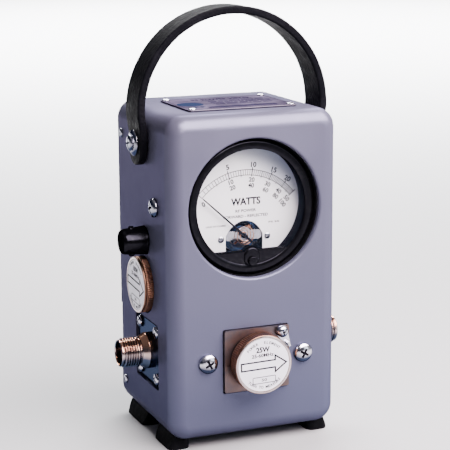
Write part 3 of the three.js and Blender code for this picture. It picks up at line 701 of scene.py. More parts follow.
def screws_from_boxes(mesh, head, names, direction_of, spins, dark):
    """Screws that stand where the CAD screws stand: the head's underside comes from the node's box."""
    for i, name in enumerate(names):
        direction = Vector(direction_of(name))
        centre = middle(name)
        outer = max((high(name) - centre).dot(direction), (low(name) - centre).dot(direction))
        seat = centre + direction * (outer - head)
        put_screw(name, mesh, seat, direction, spins[i % len(spins)], node=name, dark=dark)


def outward(name):
    return (1, 0, 0) if name.endswith("right") else (-1, 0, 0)


def forward(name):
    return FORWARD


SIDE_NAMES = [side for side, _ in SIDES]
CORNERS = [f"{level}_{row}" for level in ("upper", "lower") for row in ("front", "rear")]
FRONT_SCREWS = [f"front_screw_{side}" for side in SIDE_NAMES]
SIDE_SCREWS = [f"side_screw_{side}" for side in SIDE_NAMES]
STRAP_SCREWS = [f"strap_screw_{side}" for side in SIDE_NAMES]
CONNECTOR_SCREWS = [f"connector_screw_{corner}_{side}" for side in SIDE_NAMES for corner in CORNERS]
COVER_SCREWS = [f"cover_screw_{level}_{side}" for side in SIDE_NAMES for level in ("upper", "lower")]
# Each row: head radius and height, shank radius, length, reach of the cross, names, direction, spins, dark
# (painted shade in the recess).
SCREWS = (
    (5.2, 2.9, 1.9, 9, 0.5, FRONT_SCREWS, forward, (28, 62), (2.2, 0.52, 2.35)),
    (5.0, 2.7, 1.9, 6.5, 0.5, SIDE_SCREWS, outward, (20, 55), (2.1, 0.5, 2.2)),
    (4.2, 1.4, 2.1, 12.5, 0.66, STRAP_SCREWS, outward, (12, 70), None),
    (3.2, 1.6, 1.8, 10, 0.66, CONNECTOR_SCREWS, outward, (10, 47, 66, 31), None),
    (2.6, 0.9, 1.3, 5.2, 0.66, COVER_SCREWS, outward, (5, 52, 33), None),
    (3.0, 2.0, 1.35, 7, 0.55, ["catch_screw"], forward, (15,), None),
)
for head, height, shank, length, cross, names, direction_of, spins, dark in SCREWS:
    screws_from_boxes(phillips(head, height, shank, length, cross), height, names, direction_of, spins, dark)

# ---------- nameplate ----------
PLATE_LOW, PLATE_HIGH = low("nameplate"), high("nameplate")
plate_mid = (PLATE_LOW + PLATE_HIGH) / 2
plate_size = PLATE_HIGH - PLATE_LOW


def text_solid(words, height, width=None, bold=0.022):
    """Words in the built-in font as a flat solid 1 thick about z = 0, centred, this high from end to end."""
    curve = bpy.data.curves.new("words", "FONT")
    curve.body = words
    curve.extrude = 0.5
    curve.offset = bold
    curve.resolution_u = 3
    holder = bpy.data.objects.new("words", curve)
    bpy.context.scene.collection.objects.link(holder)
    bpy.context.view_layer.update()
    mesh = bpy.data.meshes.new_from_object(holder.evaluated_get(bpy.context.evaluated_depsgraph_get()))
    bpy.data.objects.remove(holder)
    points = [v.co.copy() for v in mesh.vertices]
    faces = [tuple(p.vertices) for p in mesh.polygons]
    xs, ys = [p.x for p in points], [p.y for p in points]
    tall, wide = max(ys) - min(ys), max(xs) - min(xs)
    sy = height / tall
    sx = width / wide if width else sy
    cx, cy = (max(xs) + min(xs)) / 2, (max(ys) + min(ys)) / 2
    return [((p.x - cx) * sx, (p.y - cy) * sy, p.z) for p in points], faces


def printed(solid, matrix, thickness=0.05):
    """A flat solid laid on a surface: x and y along it, z out of it."""
    return moved(solid, matrix @ Matrix.Diagonal((1, 1, thickness, 1)))


def surface(point, right, up):
    """The frame of a surface at a point, from its right and up directions."""
    right, up = Vector(right).normalized(), Vector(up).normalized()
    out = right.cross(up)
    matrix = Matrix((right, up, out)).transposed().to_4x4()
    matrix.translation = point
    return matrix


def stroke(outline_points, width, thickness=1.0):
    """A closed outline drawn as a band of even width, with mitred corners."""
    count = len(outline_points)
    outer, inner = [], []
    for i, point in enumerate(outline_points):
        here = Vector(point)
        a = (here - Vector(outline_points[i - 1])).normalized()
        b = (Vector(outline_points[(i + 1) % count]) - here).normalized()
        normal = (Vector((a.y, -a.x)) + Vector((b.y, -b.x))).normalized()
        reach = width / 2 / max(0.35, normal.dot(Vector((a.y, -a.x))))
        outer.append(tuple(here + normal * reach))
        inner.append(tuple(here - normal * reach))
    return ring_prism(outer, inner, -thickness / 2, thickness / 2, "xy")


def flat(outline_points):
    """An outline as a flat solid 1 thick about z = 0, to be printed."""
    return prism(outline_points, -0.5, 0.5, "xy")


def bar(x0, y0, x1, y1, width):
    """A straight printed line."""
    a, b = Vector((x0, y0)), Vector((x1, y1))
    along = (b - a).normalized()
    across = Vector((-along.y, along.x)) * width / 2
    return flat([tuple(a + across), tuple(a - across), tuple(b - across), tuple(b + across)])


def nameplate():
    solid = prism(round_rect(plate_size.x, plate_size.y, 1.5, plate_mid.x, plate_mid.y, 5),
                  PLATE_LOW.z, PLATE_HIGH.z, "xy")
    finer("nameplate", solid, bevel=0.22, sharp=40)
    top = surface((plate_mid.x, plate_mid.y, PLATE_HIGH.z + 0.01), (1, 0, 0), (0, 1, 0))
    half_x, half_y = plate_size.x / 2, plate_size.y / 2
    marks = [stroke(round_rect(2 * half_x - 3, 2 * half_y - 3, 1.6, 0, 0, 4), 0.3)]
    marks.append(shifted(text_solid("RF POWER METER", 4.6, 34), 2.0, 14.2, 0))
    marks.append(bar(-11, 9.6, 24, 9.6, 1.1))
    for row in range(4):
        y = 6.0 - 3.6 * row
        start = -8.5
        for word in range(5):
            long = 4.6 + 2.3 * ((word * 5 + row * 3) % 4) / 3
            marks.append(bar(start, y, start + long, y, 1.9))
            start += long + 0.9
    marks.append(flat(round_rect(38, 4.6, 0.8, 2.5, -14.6, 3)))
    extra("nameplate_print", "nameplate", printed(joined(*marks), top), SLATE_INK, "pointer_black")
    badge = joined(flat(circle(7.0, -21.3, -1.0, 48)), shifted(text_solid("RF", 4.4), -20.0, -12.0, 0))
    extra("nameplate_badge", "nameplate", printed(badge, top), BLUE_INK, "pointer_black")
    small = phillips(2.0, 0.9, 0.9, 2.5)
    for i, (sx, sy) in enumerate(((-1, -1), (1, -1), (1, 1), (-1, 1))):
        point = (plate_mid.x + sx * (half_x - 2.6), plate_mid.y + sy * (half_y - 2.7), PLATE_HIGH.z + 0.02)
        put_screw(f"nameplate_screw_{i + 1}", small, point, (0, 0, 1), 17 + 31 * i, near="nameplate")


nameplate()


# ---------- feet and bumpers ----------
def foot(node):
    """The section follows the housing's rounded underside and flares to the ground."""
    a, b = low(node), high(node)
    sign = 1 if b.x > 0 else -1
    inner, outer = sorted((abs(a.x), abs(b.x)))
    centre_x, centre_z = SIDE - CORNER, BOTTOM + CORNER
    radius = CORNER + GAP
    waist = 42.3
    start = math.asin((waist - centre_x) / radius)
    section = [(inner, 0), (outer, 0)]
    for step in range(9):
        angle = start * (1 - step / 8)
        section.append((centre_x + radius * math.sin(angle), centre_z - radius * math.cos(angle)))
    section.append((inner + 0.6, BOTTOM - GAP))
    section = [(sign * x, z) for x, z in section]
    mid = (a + b) / 2
    plan = round_rect(outer - inner + 0.02, b.y - a.y + 0.02, 4, sign * (inner + outer) / 2, mid.y, 8)
    finer(node, prism(section, a.y, b.y, "xz"), common=[prism(plan, -1, 12, "xy")], bevel=0.5, sharp=40)


for row in ("front", "rear"):
    for side, _ in SIDES:
        foot(f"foot_{row}_{side}")


def bumper(node):
    a, b = low(node), high(node)
    radius, height = (b.x - a.x) / 2, b.y - a.y
    profile = fillet([(0, 0), (radius, 0), (radius - 0.6, height - 0.9), (radius - 1.3, height),
                      (2.6, height), (2.3, height - 1.4), (0, height - 1.4)], 0.5)
    finer(node, moved(lathe(profile, 48), along_y((a.z + b.z) / 2, (a.x + b.x) / 2, a.y)))


small_pan = phillips(2.0, 0.9, 0.8, 1.5)
for row in ("upper", "lower"):
    for side, _ in SIDES:
        node = f"rear_bumper_{row}_{side}"
        bumper(node)
        seat = middle(node)
        seat.y = high(node).y - 1.35
        put_screw(f"bumper_screw_{row}_{side}", small_pan, seat, (0, 1, 0), 24, near=node)


# ---------- strap ----------
def strap():
    a, b = low("strap"), high("strap")
    width, mid_y, foot_z = b.y - a.y, (a.y + b.y) / 2, a.z
    thick, edge, flare_z = 4.2, 1.15, 162
    arc_x, arc_z = (a.x + b.x) / 2, 173.4
    arc = b.z - arc_z - thick / 2
    leg = SIDE + 0.5 + thick / 2
    rise = [i / 6 for i in range(1, 7)]

    def side(sign):
        reach = arc + sign * arc_x
        straight = [(sign * leg, foot_z + (flare_z - foot_z) * i / 14) for i in range(15)]
        flare = [(sign * (leg + (reach - leg) * t * t * (3 - 2 * t)), flare_z + (arc_z - flare_z) * t)
                 for t in rise]
        return straight + flare

    crown = [math.pi * i / 90 for i in range(1, 90)]
    path = side(-1) + [(arc_x - arc * math.cos(t), arc_z + arc * math.sin(t)) for t in crown] + side(1)[::-1]
    rings = []
    length = 0.0
    total = sum(math.dist(p, q) for p, q in zip(path, path[1:]))
    for i, (x, z) in enumerate(path):
        if i:
            length += math.dist(path[i - 1], (x, z))
        before, after = Vector(path[max(i - 1, 0)]), Vector(path[min(i + 1, len(path) - 1)])
        ahead = (after - before).normalized()
        outwards = Vector((-ahead.y, ahead.x))
        tip = min(length, total - length)
        end = width / 2
        reach = math.sqrt(max(end ** 2 - max(end - tip - 0.35, 0) ** 2, 0.4)) if tip < end else end
        sway = 0.12 * math.sin(i * 0.31) + 0.08 * math.sin(i * 0.83 + 1)
        half = thick / 2 - 0.02
        ring = []
        for u, v in round_rect(2 * reach, 2 * half, min(edge, reach * 0.9), 0, 0, 5):
            centre = Vector((x, z)) + outwards * v
            ring.append((centre.x, mid_y + u + sway * (tip > 30), centre.y))
        rings.append(ring)
    finer("strap", loft(rings), sharp=50)


strap()


def washer(node, sign):
    a = low(node) if sign > 0 else high(node)
    centre = middle(node)
    profile = fillet([(2.5, 0), (6.5, 0), (6.9, 0.45), (6.0, 1.1), (5.1, 1.5), (4.0, 1.68), (2.5, 1.55)],
                     0.35, loop=True)
    profile.append(profile[0])
    finer(node, moved(lathe(profile, 56), aim((a.x, centre.y, centre.z), (sign, 0, 0))))


for side, sign in SIDES:
    washer(f"strap_washer_{side}", sign)

# ---------- coaxial line section ----------
LINE_LOW, LINE_HIGH = low("line_body"), high("line_body")
PLATE_FRONT = LINE_LOW.y
LINE_END = LINE_HIGH.x
catch_pivot = joint_point("catch_swing")


def line_body():
    trunk_width, socket, mouth = 32, 12.8, 13.3
    trunk = brick(2 * LINE_END, trunk_width, trunk_width, 0, 0, LINE_Z)
    boss = prism(round_rect(36, 33, 0.9, 0, PLATE_Z, 4), PLATE_FRONT, -2, "xz")
    lug_front = FRONT + WALL + GAP + 0.1
    lugs = brick(64, 5, 14, 0, lug_front + 2.5, PLATE_Z)
    cuts = [
        rod(10, -LINE_END - 2, LINE_END + 2, aim((0, 0, LINE_Z), (1, 0, 0)), 64),
        moved(lathe([(0, PLATE_FRONT - 2), (mouth, PLATE_FRONT - 2), (mouth, PLATE_FRONT),
                     (socket, PLATE_FRONT + 0.5), (socket, -12), (0, -12)], 96), along_y(LINE_Z)),
    ]
    finer("line_body", trunk, add=[boss, lugs], cut=cuts, bevel=0.3, sharp=40)


line_body()


def connector(side, sign):
    """The flange and barrel with its ridges for the thread, the split contact and the insulator."""
    node = f"connector_{side}"
    a, b = low(node), high(node)
    inner = min(abs(a.x), abs(b.x))
    mouth = max(abs(a.x), abs(b.x))
    size, thick = b.y - a.y, 4.2
    place = aim((0, 0, LINE_Z), (sign, 0, 0))
    ends = sorted((sign * inner, sign * (inner + thick)))
    flange = prism(round_rect(size, size, 1.2, 0, LINE_Z, 4), *ends, "yz")
    profile = [(0, inner), (9.6, inner), (9.6, 47.9), (9.0, 48.9), (7.7, 51.2), (7.1, 51.5), (7.1, 52.5),
               (8.0, 52.7), (8.0, 53.7), (7.0, 53.9)]
    ridges, pitch, root, top = 5, 1.36, 6.95, 7.95
    for turn in range(ridges):
        crest = 54.9 + pitch * turn
        profile += [(root, crest - 0.5), (top, crest - 0.16), (top, crest + 0.16), (root, crest + 0.5)]
    profile += [(root, mouth - 1.4), (7.15, mouth - 1.3), (7.15, mouth - 0.35), (6.8, mouth), (0, mouth)]
    body = fillet(profile, 0.2, 3, keep=(0, len(profile) - 1))
    bore = fillet([(0, mouth + 2), (6.6, mouth + 2), (6.6, mouth), (6.35, mouth - 0.5), (6.35, mouth - 8.5),
                   (4.6, mouth - 8.5), (4.6, inner - 2), (0, inner - 2)], 0.2, keep=(1, 2, 6))
    finer(node, moved(lathe(body, 96), place), add=[flange], cut=[moved(lathe(bore, 96), place)], sharp=40)
    tip = mouth - 2
    contact = fillet([(0, 43), (1.6, 43), (1.6, tip - 0.6), (1.3, tip), (0.8, tip), (0.8, tip - 5),
                      (0, tip - 5)], 0.15)
    slots = [brick(0.35, 4, 6, 0, 0, tip - 1.5), brick(4, 0.35, 6, 0, 0, tip - 1.5)]
    finer(f"connector_contact_{side}", moved(lathe(contact, 40), place), cut=[moved(s, place) for s in slots],
          sharp=35)
    sleeve = fillet([(1.9, 44), (4.3, 44), (4.3, 54.3), (4.0, 54.5), (1.9, 54.5)], 0.2, loop=True)
    sleeve.append(sleeve[0])
    finer(f"connector_insulator_{side}", moved(lathe(sleeve, 48), place))


for side, sign in SIDES:
    connector(side, sign)


# ---------- element catch ----------
def catch():
    thick = 1.2
    front = PLATE_FRONT - GAP - thick
    tip = Vector((3, -6.5))
    along = tip.normalized()
    across = Vector((-along.y, along.x))
    root_radius, tip_radius = 3.2, 1.6
    line = []
    for step in range(13):
        angle = math.pi * step / 12
        line.append(tuple(across * root_radius * math.cos(angle) - along * root_radius * math.sin(angle)))
    for step in range(9):
        angle = math.pi * step / 8
        line.append(tuple(tip - across * tip_radius * math.cos(angle) + along * tip_radius * math.sin(angle)))
    plate = prism(line, front, front + thick, "xz")
    turn = math.atan2(tip.y, tip.x)
    claw = moved(brick(2.6, 3.4, 1.1, 0, 0, 0), Matrix.Translation((tip.x, front - 0.7, tip.y))
                 @ Matrix.Rotation(-turn, 4, "Y"))
    hole = rod(1.7, -9, 9, along_y(z=0, y=front))
    to = Matrix.Translation((catch_pivot.x, 0, catch_pivot.z))
    finer("element_catch", moved(plate, to), add=[moved(claw, to)], cut=[moved(hole, to)], bevel=0.2, sharp=40)


catch()


# ---------- elements ----------
def knurled_cap(node, radius, height, matrix):
    """Made along +Z from its face at 0. The flank is knurled, and the rim round the label is plain."""
    teeth = 88

    def knurl(angle, r, h):
        if r < radius - 0.45 or not 1.9 < h < height - 0.5:
            return r
        return r - 0.34 * abs(math.sin(angle * teeth / 2))

    socket = 12.7
    flank = [(radius - 0.05, 2.1 + (height - 2.8) * i / 6) for i in range(7)]
    profile = [(0, 0.3), (radius - 1.45, 0.3), (radius - 1.3, 0.15), (radius - 0.7, 0.15),
               (radius - 0.15, 0.3), (radius, 0.6), (radius, 1.35), (radius - 0.4, 1.75), *flank,
               (radius - 0.4, height - 0.35), (radius - 0.8, height), (socket, height), (socket, 3), (0, 3)]
    finer(node, moved(lathe(profile, teeth * 6, knurl), matrix), sharp=50)
    rim = [(radius - 1.3, 0.05), (radius - 1.1, 0), (radius - 0.8, 0), (radius - 0.3, 0.16),
           (radius - 0.5, 0.3), (radius - 1.3, 0.3), (radius - 1.3, 0.05)]
    extra(node + "_rim", node, moved(lathe(rim, 128), matrix), RIM, "silver_plate")


def arrow(shaft_from, shaft_to, tip, half, head):
    return [(shaft_from, -half), (shaft_to, -half), (shaft_to, -head), (tip, 0), (shaft_to, head),
            (shaft_to, half), (shaft_from, half)]


def arc_text(words, radius, height, middle_angle, spread, inward):
    """Letters along a circle. Inward letters stand with their feet on the outside."""
    solids = []
    for i, letter in enumerate(words):
        share = 0.5 if len(words) == 1 else i / (len(words) - 1)
        angle = middle_angle + (share - 0.5) * spread * (1 if inward else -1)
        if letter == " ":
            continue
        turn = math.radians(angle + 90 if inward else angle - 90)
        at = (radius * math.cos(math.radians(angle)), radius * math.sin(math.radians(angle)), 0)
        place = Matrix.Translation(at) @ Matrix.Rotation(turn, 4, "Z")
        solids.append(moved(text_solid(letter, height), place))
    return joined(*solids)


def element_label(name, near, face, radius, power, band, turn):
    """The label's disc, and its print: power, band, arrow and a boxed number."""
    disc = fillet([(0, -0.02), (radius, -0.02), (radius, 0.12), (0, 0.12)], 0.05)
    extra(name + "_label", near, moved(lathe(disc, 96), face), LABEL, "nameplate_metal")
    marks = [
        stroke(arrow(-12.5, 6.3, 12.5, 1.95, 4.4), 0.8),
        shifted(text_solid(power, 2.9, 7.6, 0.04), -0.4, 8.2, 0),
        shifted(text_solid(band, 2.0, 12.2, 0.03), -0.6, 5.2, 0),
        stroke(round_rect(12.6, 3.3, 0.4, 0, -8.0, 2), 0.36),
        shifted(text_solid("50", 1.5, 3.0), 0, -8.0, 0),
        arc_text("POWER  ELEMENT", 11.9, 1.45, 90, 92, False),
        arc_text("TURN TO MEASURE", 11.9, 1.45, -90, 88, True),
    ]
    solid = moved(joined(*marks), Matrix.Rotation(math.radians(turn), 4, "Z"))
    above = face @ Matrix.Translation((0, 0, 0.13))
    extra(name + "_print", near, printed(solid, above), INK, "pointer_black")


def element(prefix, face_point, right, radius, height, power, band, turn):
    """A plug-in element: cap, label, barrel and pick-up loop, from the middle of the cap's face."""
    cap, barrel = f"{prefix}_cap", f"{prefix}_barrel"
    face = surface(face_point, right, (0, 0, 1))
    out = face.to_3x3() @ Vector((0, 0, 1))
    inwards = Matrix.Translation(face_point) @ (face.to_3x3() @ Matrix.Rotation(math.pi, 3, "X")).to_4x4()
    knurled_cap(cap, radius, height, inwards)
    label = face.copy()
    label.translation = Vector(face_point) - out * 0.3
    element_label(prefix, cap, label, radius - 1.5, power, band, turn)
    barrel_radius, end = 12.4, 35.5
    profile = fillet([(0, 3.3), (barrel_radius, 3.3), (barrel_radius, end - 1), (barrel_radius - 1, end),
                      (0, end)], 0.3)
    groove = [(barrel_radius, 10), (11.9, 10.3), (11.9, 11.7), (barrel_radius, 12)]
    profile = profile[:-1][:len(profile) // 2] + groove + profile[len(profile) // 2:]
    legs = [brick(1.2, 3, 4.2, s * 5, 0, 35.4 + 2.1) for s in (-1, 1)]
    bridge = brick(11.2, 3, 1.2, 0, 0, 39.1)
    loop = [moved(s, inwards) for s in (*legs, bridge)]
    finer(barrel, moved(lathe(profile, 72), inwards), add=loop, sharp=35)


cap_mid, spare_mid = middle("element_cap"), middle("spare_cap")
BAND = "25-60MHz"
element("element", (cap_mid.x, low("element_cap").y, LINE_Z), (1, 0, 0), 15.6, 8.6, "25W", BAND, 1.3)
element("spare", (low("spare_cap").x, spare_mid.y, spare_mid.z), (0, -1, 0), 14.8, 7.6, "100W", BAND, -4)


def spare_socket():
    a, b = low("spare_socket"), high("spare_socket")
    mouth, floor = a.x, b.x
    profile = fillet([(0, floor - 1.2), (12.8, floor - 1.2), (12.8, mouth), (17, mouth), (17, mouth + 1.2),
                      (14.5, mouth + 1.2), (14.5, floor), (0, floor)], 0.3)
    finer("spare_socket", moved(lathe(profile, 72), aim((0, spare_mid.y, spare_mid.z), (1, 0, 0))), sharp=35)


spare_socket()


# ---------- retaining knob ----------
def knob():
    a = low("retainer_knob")
    pivot = joint_point("retainer_turn")
    end = -a.x
    base = SIDE + GAP
    body = fillet([(0, end), (5.9, end), (6.6, end - 1.2), (6.9, end - 4), (7.5, base + 1.4), (7.7, base),
                   (2, base), (2, base - 6.4), (0, base - 6.4)], 0.8, keep=(5, 6))
    lobes = []
    for sign in (-1, 1):
        nub = fillet([(0, 53.0), (1.9, 53.0), (1.9, 55.4), (0, 55.4)], 0.5)
        lobes.append(shifted(moved(lathe(nub, 32), aim((0, 0, 0), (-1, 0, 0))), 0, 0, sign * 6.2))
    place = aim((0, 0, 0), (-1, 0, 0))
    to = Matrix.Translation((0, pivot.y, pivot.z))
    finer("retainer_knob", moved(moved(lathe(body, 72), place), to), add=[moved(s, to) for s in lobes],
          bevel=0.25, sharp=45)


knob()

# ---------- meter ----------
CASE_FRONT = -33.0
DIAL_FRONT = low("dial_plate").y
CHIN_TOP = low("meter_window").z - GAP
PIVOT = joint_point("pointer_swing")
ADJUSTER = joint_point("zero_adjust")
to_front = along_y(METER_Z)


def boss_line(grow):
    """The outline of the boss round the zero adjuster, larger on every side by grow."""
    return round_rect(8.8 + 2 * grow, 10.2 + 2 * grow, 4.3 + grow, 0, ADJUSTER.z + 2.0, 8)


def meter_case():
    back = high("meter_case").y
    step, pocket, window = -19.4, 31.3, 30.0
    body, radius = 29.8, 35.4
    outside = [(window, CASE_FRONT + 0.8), (window, CASE_FRONT + 0.35), (window + 0.7, CASE_FRONT + 0.1),
               (window + 1.6, CASE_FRONT), (radius - 1.6, CASE_FRONT), (radius, CASE_FRONT + 1.4),
               (radius, step), (body, step), (body, back - 2), (body - 2, back), (0, back)]
    inside = [(0, back - 2.2), (body - 2.2, back - 2.2), (body - 2.2, step - 1.8), (pocket, step - 1.8),
              (pocket, CASE_FRONT + 0.8)]
    shell = lathe(fillet(inside + outside, 0.45, 3, keep=(0, len(inside) + len(outside) - 1)), 128)
    chin_height = CHIN_TOP - (METER_Z - pocket - 1)
    block = brick(60, 5, chin_height, 0, CASE_FRONT + 3, CHIN_TOP - chin_height / 2)
    disc = rod(radius - 1, CASE_FRONT + 0.5, CASE_FRONT + 5.5, to_front, 96)
    chin = combined(mesh_of(block), [disc], "INTERSECT")
    chin_solid = ([tuple(v.co) for v in chin.vertices], [tuple(p.vertices) for p in chin.polygons])
    steps = ((1.2, -0.4), (0.6, -0.25), (0.2, 0.1), (0.0, 0.6), (0.0, 5.5))
    boss = loft([[(x, CASE_FRONT + y, z) for x, z in boss_line(-inset)] for inset, y in steps])
    hole = rod(1.9, CASE_FRONT - 3, CASE_FRONT + 9, along_y(ADJUSTER.z), 40)
    finer("meter_case", moved(shell, to_front), add=[chin_solid, boss], cut=[hole], bevel=0.18, sharp=42)


meter_case()


def meter_window():
    a, b = low("meter_window"), high("meter_window")
    radius = (b.x - a.x) / 2
    profile = [(0, a.y), (radius - 0.3, a.y), (radius, a.y + 0.3), (radius, b.y), (0, b.y)]
    disc = moved(lathe(profile, 128), to_front)
    cuts = [brick(90, 12, 40, 0, a.y, a.z - 20), prism(boss_line(0.25), a.y - 6, a.y + 6, "xz")]
    finer("meter_window", disc, cut=cuts, sharp=35)


meter_window()


def dial_plate():
    radius = 30.9
    depth = CHIN_TOP - 4 - METER_Z
    start = math.asin(depth / radius)
    span = math.pi - 2 * start
    disc = [(radius * math.cos(start + span * i / 96), METER_Z + radius * math.sin(start + span * i / 96))
            for i in range(97)]
    half, shoulder, top = 10.4, 109.5, 117
    arch = [(half, CHIN_TOP - 2.5), (half, shoulder)]
    for (x0, z0), (x1, z1), (x2, z2) in (((half, shoulder), (6.6, top), (0.4, top)),
                                         ((0.4, top), (-6, top), (-half, shoulder))):
        for i in range(1, 13):
            t = i / 12
            arch.append((x0 * (1 - t) ** 2 + 2 * t * (1 - t) * x1 + t * t * x2,
                         z0 * (1 - t) ** 2 + 2 * t * (1 - t) * z1 + t * t * z2))
    arch.append((-half, CHIN_TOP - 2.5))
    finer("dial_plate", prism(disc, DIAL_FRONT, DIAL_FRONT + 0.8, "xz"),
          cut=[prism(arch, DIAL_FRONT - 2, DIAL_FRONT + 3, "xz")], bevel=0.08, sharp=40)


dial_plate()

ZERO, FULL = -47.5, 51.5
FULL_SCALE = 25


def scale_angle(watts):
    """The pointer's lean from upright at a power, in degrees. The scale opens up at its low end."""
    share = watts / FULL_SCALE
    fraction = share ** (0.755 - 0.25 * share) if share else 0.0
    return ZERO + (FULL - ZERO) * fraction


def arc_band(radius, width, start, end, steps=96):
    """A thin printed arc round the pointer's pivot."""
    def line(r):
        angles = [math.radians(start + (end - start) * i / steps) for i in range(steps + 1)]
        return [(r * math.sin(a), r * math.cos(a)) for a in angles]
    return flat(line(radius + width / 2) + line(radius - width / 2)[::-1])


def tick(watts, inner, outer, width):
    angle = math.radians(scale_angle(watts))
    s, c = math.sin(angle), math.cos(angle)
    return bar(inner * s, inner * c, outer * s, outer * c, width)


def dial_print():
    on_dial = surface((PIVOT.x + 0.5, DIAL_FRONT - 0.02, PIVOT.z - 0.3), (1, 0, 0), (0, 0, 1))
    inner, outer = 32.2, 35.0
    marks = [arc_band(radius, 0.34, ZERO, FULL) for radius in (inner, outer)]
    for half in range(0, 2 * FULL_SCALE + 1):
        watts = half / 2
        if watts % 5 == 0 and watts:
            marks.append(tick(watts, inner - 0.7, outer + 1.3, 0.5))
        elif watts % 2.5 == 0:
            marks.append(tick(watts, inner - 0.8 * (watts > 0), outer, 0.36))
        else:
            marks.append(tick(watts, inner, outer, 0.26))

    def number(words, x, z, height, lean=0.0):
        turn = Matrix.Rotation(math.radians(-lean), 4, "Z")
        words_solid = moved(text_solid(words, height, bold=0.03), turn)
        marks.append(moved(words_solid, Matrix.Translation((x, z - PIVOT.z, 0))))

    # The numbers' places are read off the photo: each number with its x and z on the dial.
    rows = (
        ((5, -9.6, 145.9), (10, 4.9, 146.4), (15, 16.4, 142.8), (20, 24.0, 137.8)),
        ((10, -7.75, 138.1), (20, 3.8, 138.6), (30, 12.75, 135.6), (40, 18.9, 131.6), (50, 23.5, 127.3)),
        ((20, -6.9, 135.1), (40, 3.4, 135.6), (60, 11.6, 132.6), (80, 17.2, 129.0), (100, 21.2, 125.0)),
    )
    for row, height, lean in zip(rows, (2.8, 2.5, 2.5), (0.7, 1.0, 1.0)):
        for place, (watts, x, z) in enumerate(row):
            number(str(watts), x, z, height, lean * scale_angle(5 * (place + 1)))
    number("0", -23.0, 127.6, 2.7, -30)
    for words, height, width, bold, x, z in (
        ("WATTS", 4.0, 16.5, 0.035, 0.4, 127.5), ("RF POWER", 1.5, 11.5, 0.022, 0.4, 122.6),
        ("FORWARD - REFLECTED", 1.5, 25.0, 0.022, 0.4, 119.7),
        ("LINE 50 OHMS", 0.9, 11.0, 0.022, -16.3, 115.5), ("FS 25", 0.9, 6.0, 0.022, 16.3, 115.5),
    ):
        marks.append(shifted(text_solid(words, height, width, bold), x, z - PIVOT.z, 0))
    extra("dial_print", "dial_plate", printed(joined(*marks), on_dial), INK, "pointer_black")
    slotted = phillips(1.7, 0.7, 0.7, 1.4)
    for side, sign in SIDES:
        put_screw(f"dial_screw_{side}", slotted, (13 * sign, DIAL_FRONT - 0.02, 108), FORWARD, 20 + 40 * sign,
                  near="dial_plate")


dial_print()


# ---------- movement ----------
HUB_END = -18.8


def pointer():
    """The blade with its counterweight, hub and moving coil, leaning at zero."""
    tilt = Matrix.Translation((PIVOT.x, 0, PIVOT.z)) @ Matrix.Rotation(math.radians(ZERO), 4, "Y")
    blade_back = DIAL_FRONT - 2
    blade = [(-0.6, 0), (-0.3, 31.8), (0, 32), (0.3, 31.8), (0.6, 0), (0.45, -6.5), (-0.45, -6.5)]
    arm = prism(blade, blade_back - 0.38, blade_back, "xz")
    weight = moved(lathe(fillet([(0, -1.5), (0.75, -1.5), (0.75, 1.5), (0, 1.5)], 0.2), 24),
                   Matrix.Translation((0, blade_back - 0.3, -6)) @ aim((0, 0, 0), (1, 0, 0)))
    hub_line = [(0, blade_back - 0.8), (1.2, blade_back - 0.8), (1.2, HUB_END), (0, HUB_END)]
    hub = moved(lathe(fillet(hub_line, 0.2), 32), along_y(0))
    coil, wire = 5.7, 1.6
    pieces = [brick(2 * coil + wire, 0.8, wire, 0, -19.2, 0)]
    pieces += [brick(wire, 12, wire, sign * coil, -13.6, 0) for sign in (-1, 1)]
    finer("pointer", moved(arm, tilt), add=[moved(s, tilt) for s in (weight, hub, *pieces)], sharp=35)
    windings = []
    for turn in range(6):
        z = -0.65 + 1.3 * turn / 5
        half = [(coil + 0.6, -19.7, z), (coil + 0.85, -19.1, z), (coil + 0.85, -8.2, z)]
        loop = [(-x, y, z) for x, y, z in half[::-1]] + half
        windings.append(tube(loop, 0.13, 6))
    extra("coil_winding", "pointer", moved(joined(*windings), tilt), LOOKS["spring_bronze"], "spring_bronze")


def hairspring():
    spiral = []
    for i in range(161):
        t = i / 160
        radius, angle = 1.7 + 3.7 * t, t * 2.25 * 2 * math.pi
        spiral.append((radius * math.cos(angle), DIAL_FRONT - 0.6, PIVOT.z + radius * math.sin(angle)))
    rings = []
    for i, point in enumerate(spiral):
        out = Vector((point[0], 0, point[2] - PIVOT.z)).normalized() * 0.14
        at = Vector(point)
        corners = ((1, 1), (-1, 1), (-1, -1), (1, -1))
        rings.append([tuple(at + out * u + Vector((0, 0.3 * v, 0))) for u, v in corners])
    finer("hairspring", loft(rings), sharp=40)


def movement_bridge():
    front = low("movement_bridge").y
    bar_line = round_rect(21, 5, 2.4, 0, PIVOT.z, 6)
    ring_line = round_rect(9, 9, 4.4, 0, PIVOT.z, 10)
    hole = rod(1.8, front - 2, front + 3, along_y(PIVOT.z))
    posts = [rod(1.2, front + 0.5, HUB_END, along_y(PIVOT.z, sign * 8.7), 24) for sign in (-1, 1)]
    finer("movement_bridge", prism(bar_line, front, front + 1.2, "xz"),
          add=[prism(ring_line, front, front + 1.2, "xz"), *posts], cut=[hole], bevel=0.15, sharp=40)


def magnet():
    """The pot with its pole ring and the core in the middle."""
    profile = fillet([(0, -17.5), (4.2, -17.5), (4.2, -5), (7.3, -5), (7.3, -18.5), (10, -18.5), (10, 8),
                      (0, 8)], 0.4)
    finer("magnet", moved(lathe(profile, 72), along_y(PIVOT.z)), sharp=35)


pointer()
hairspring()
movement_bridge()
magnet()


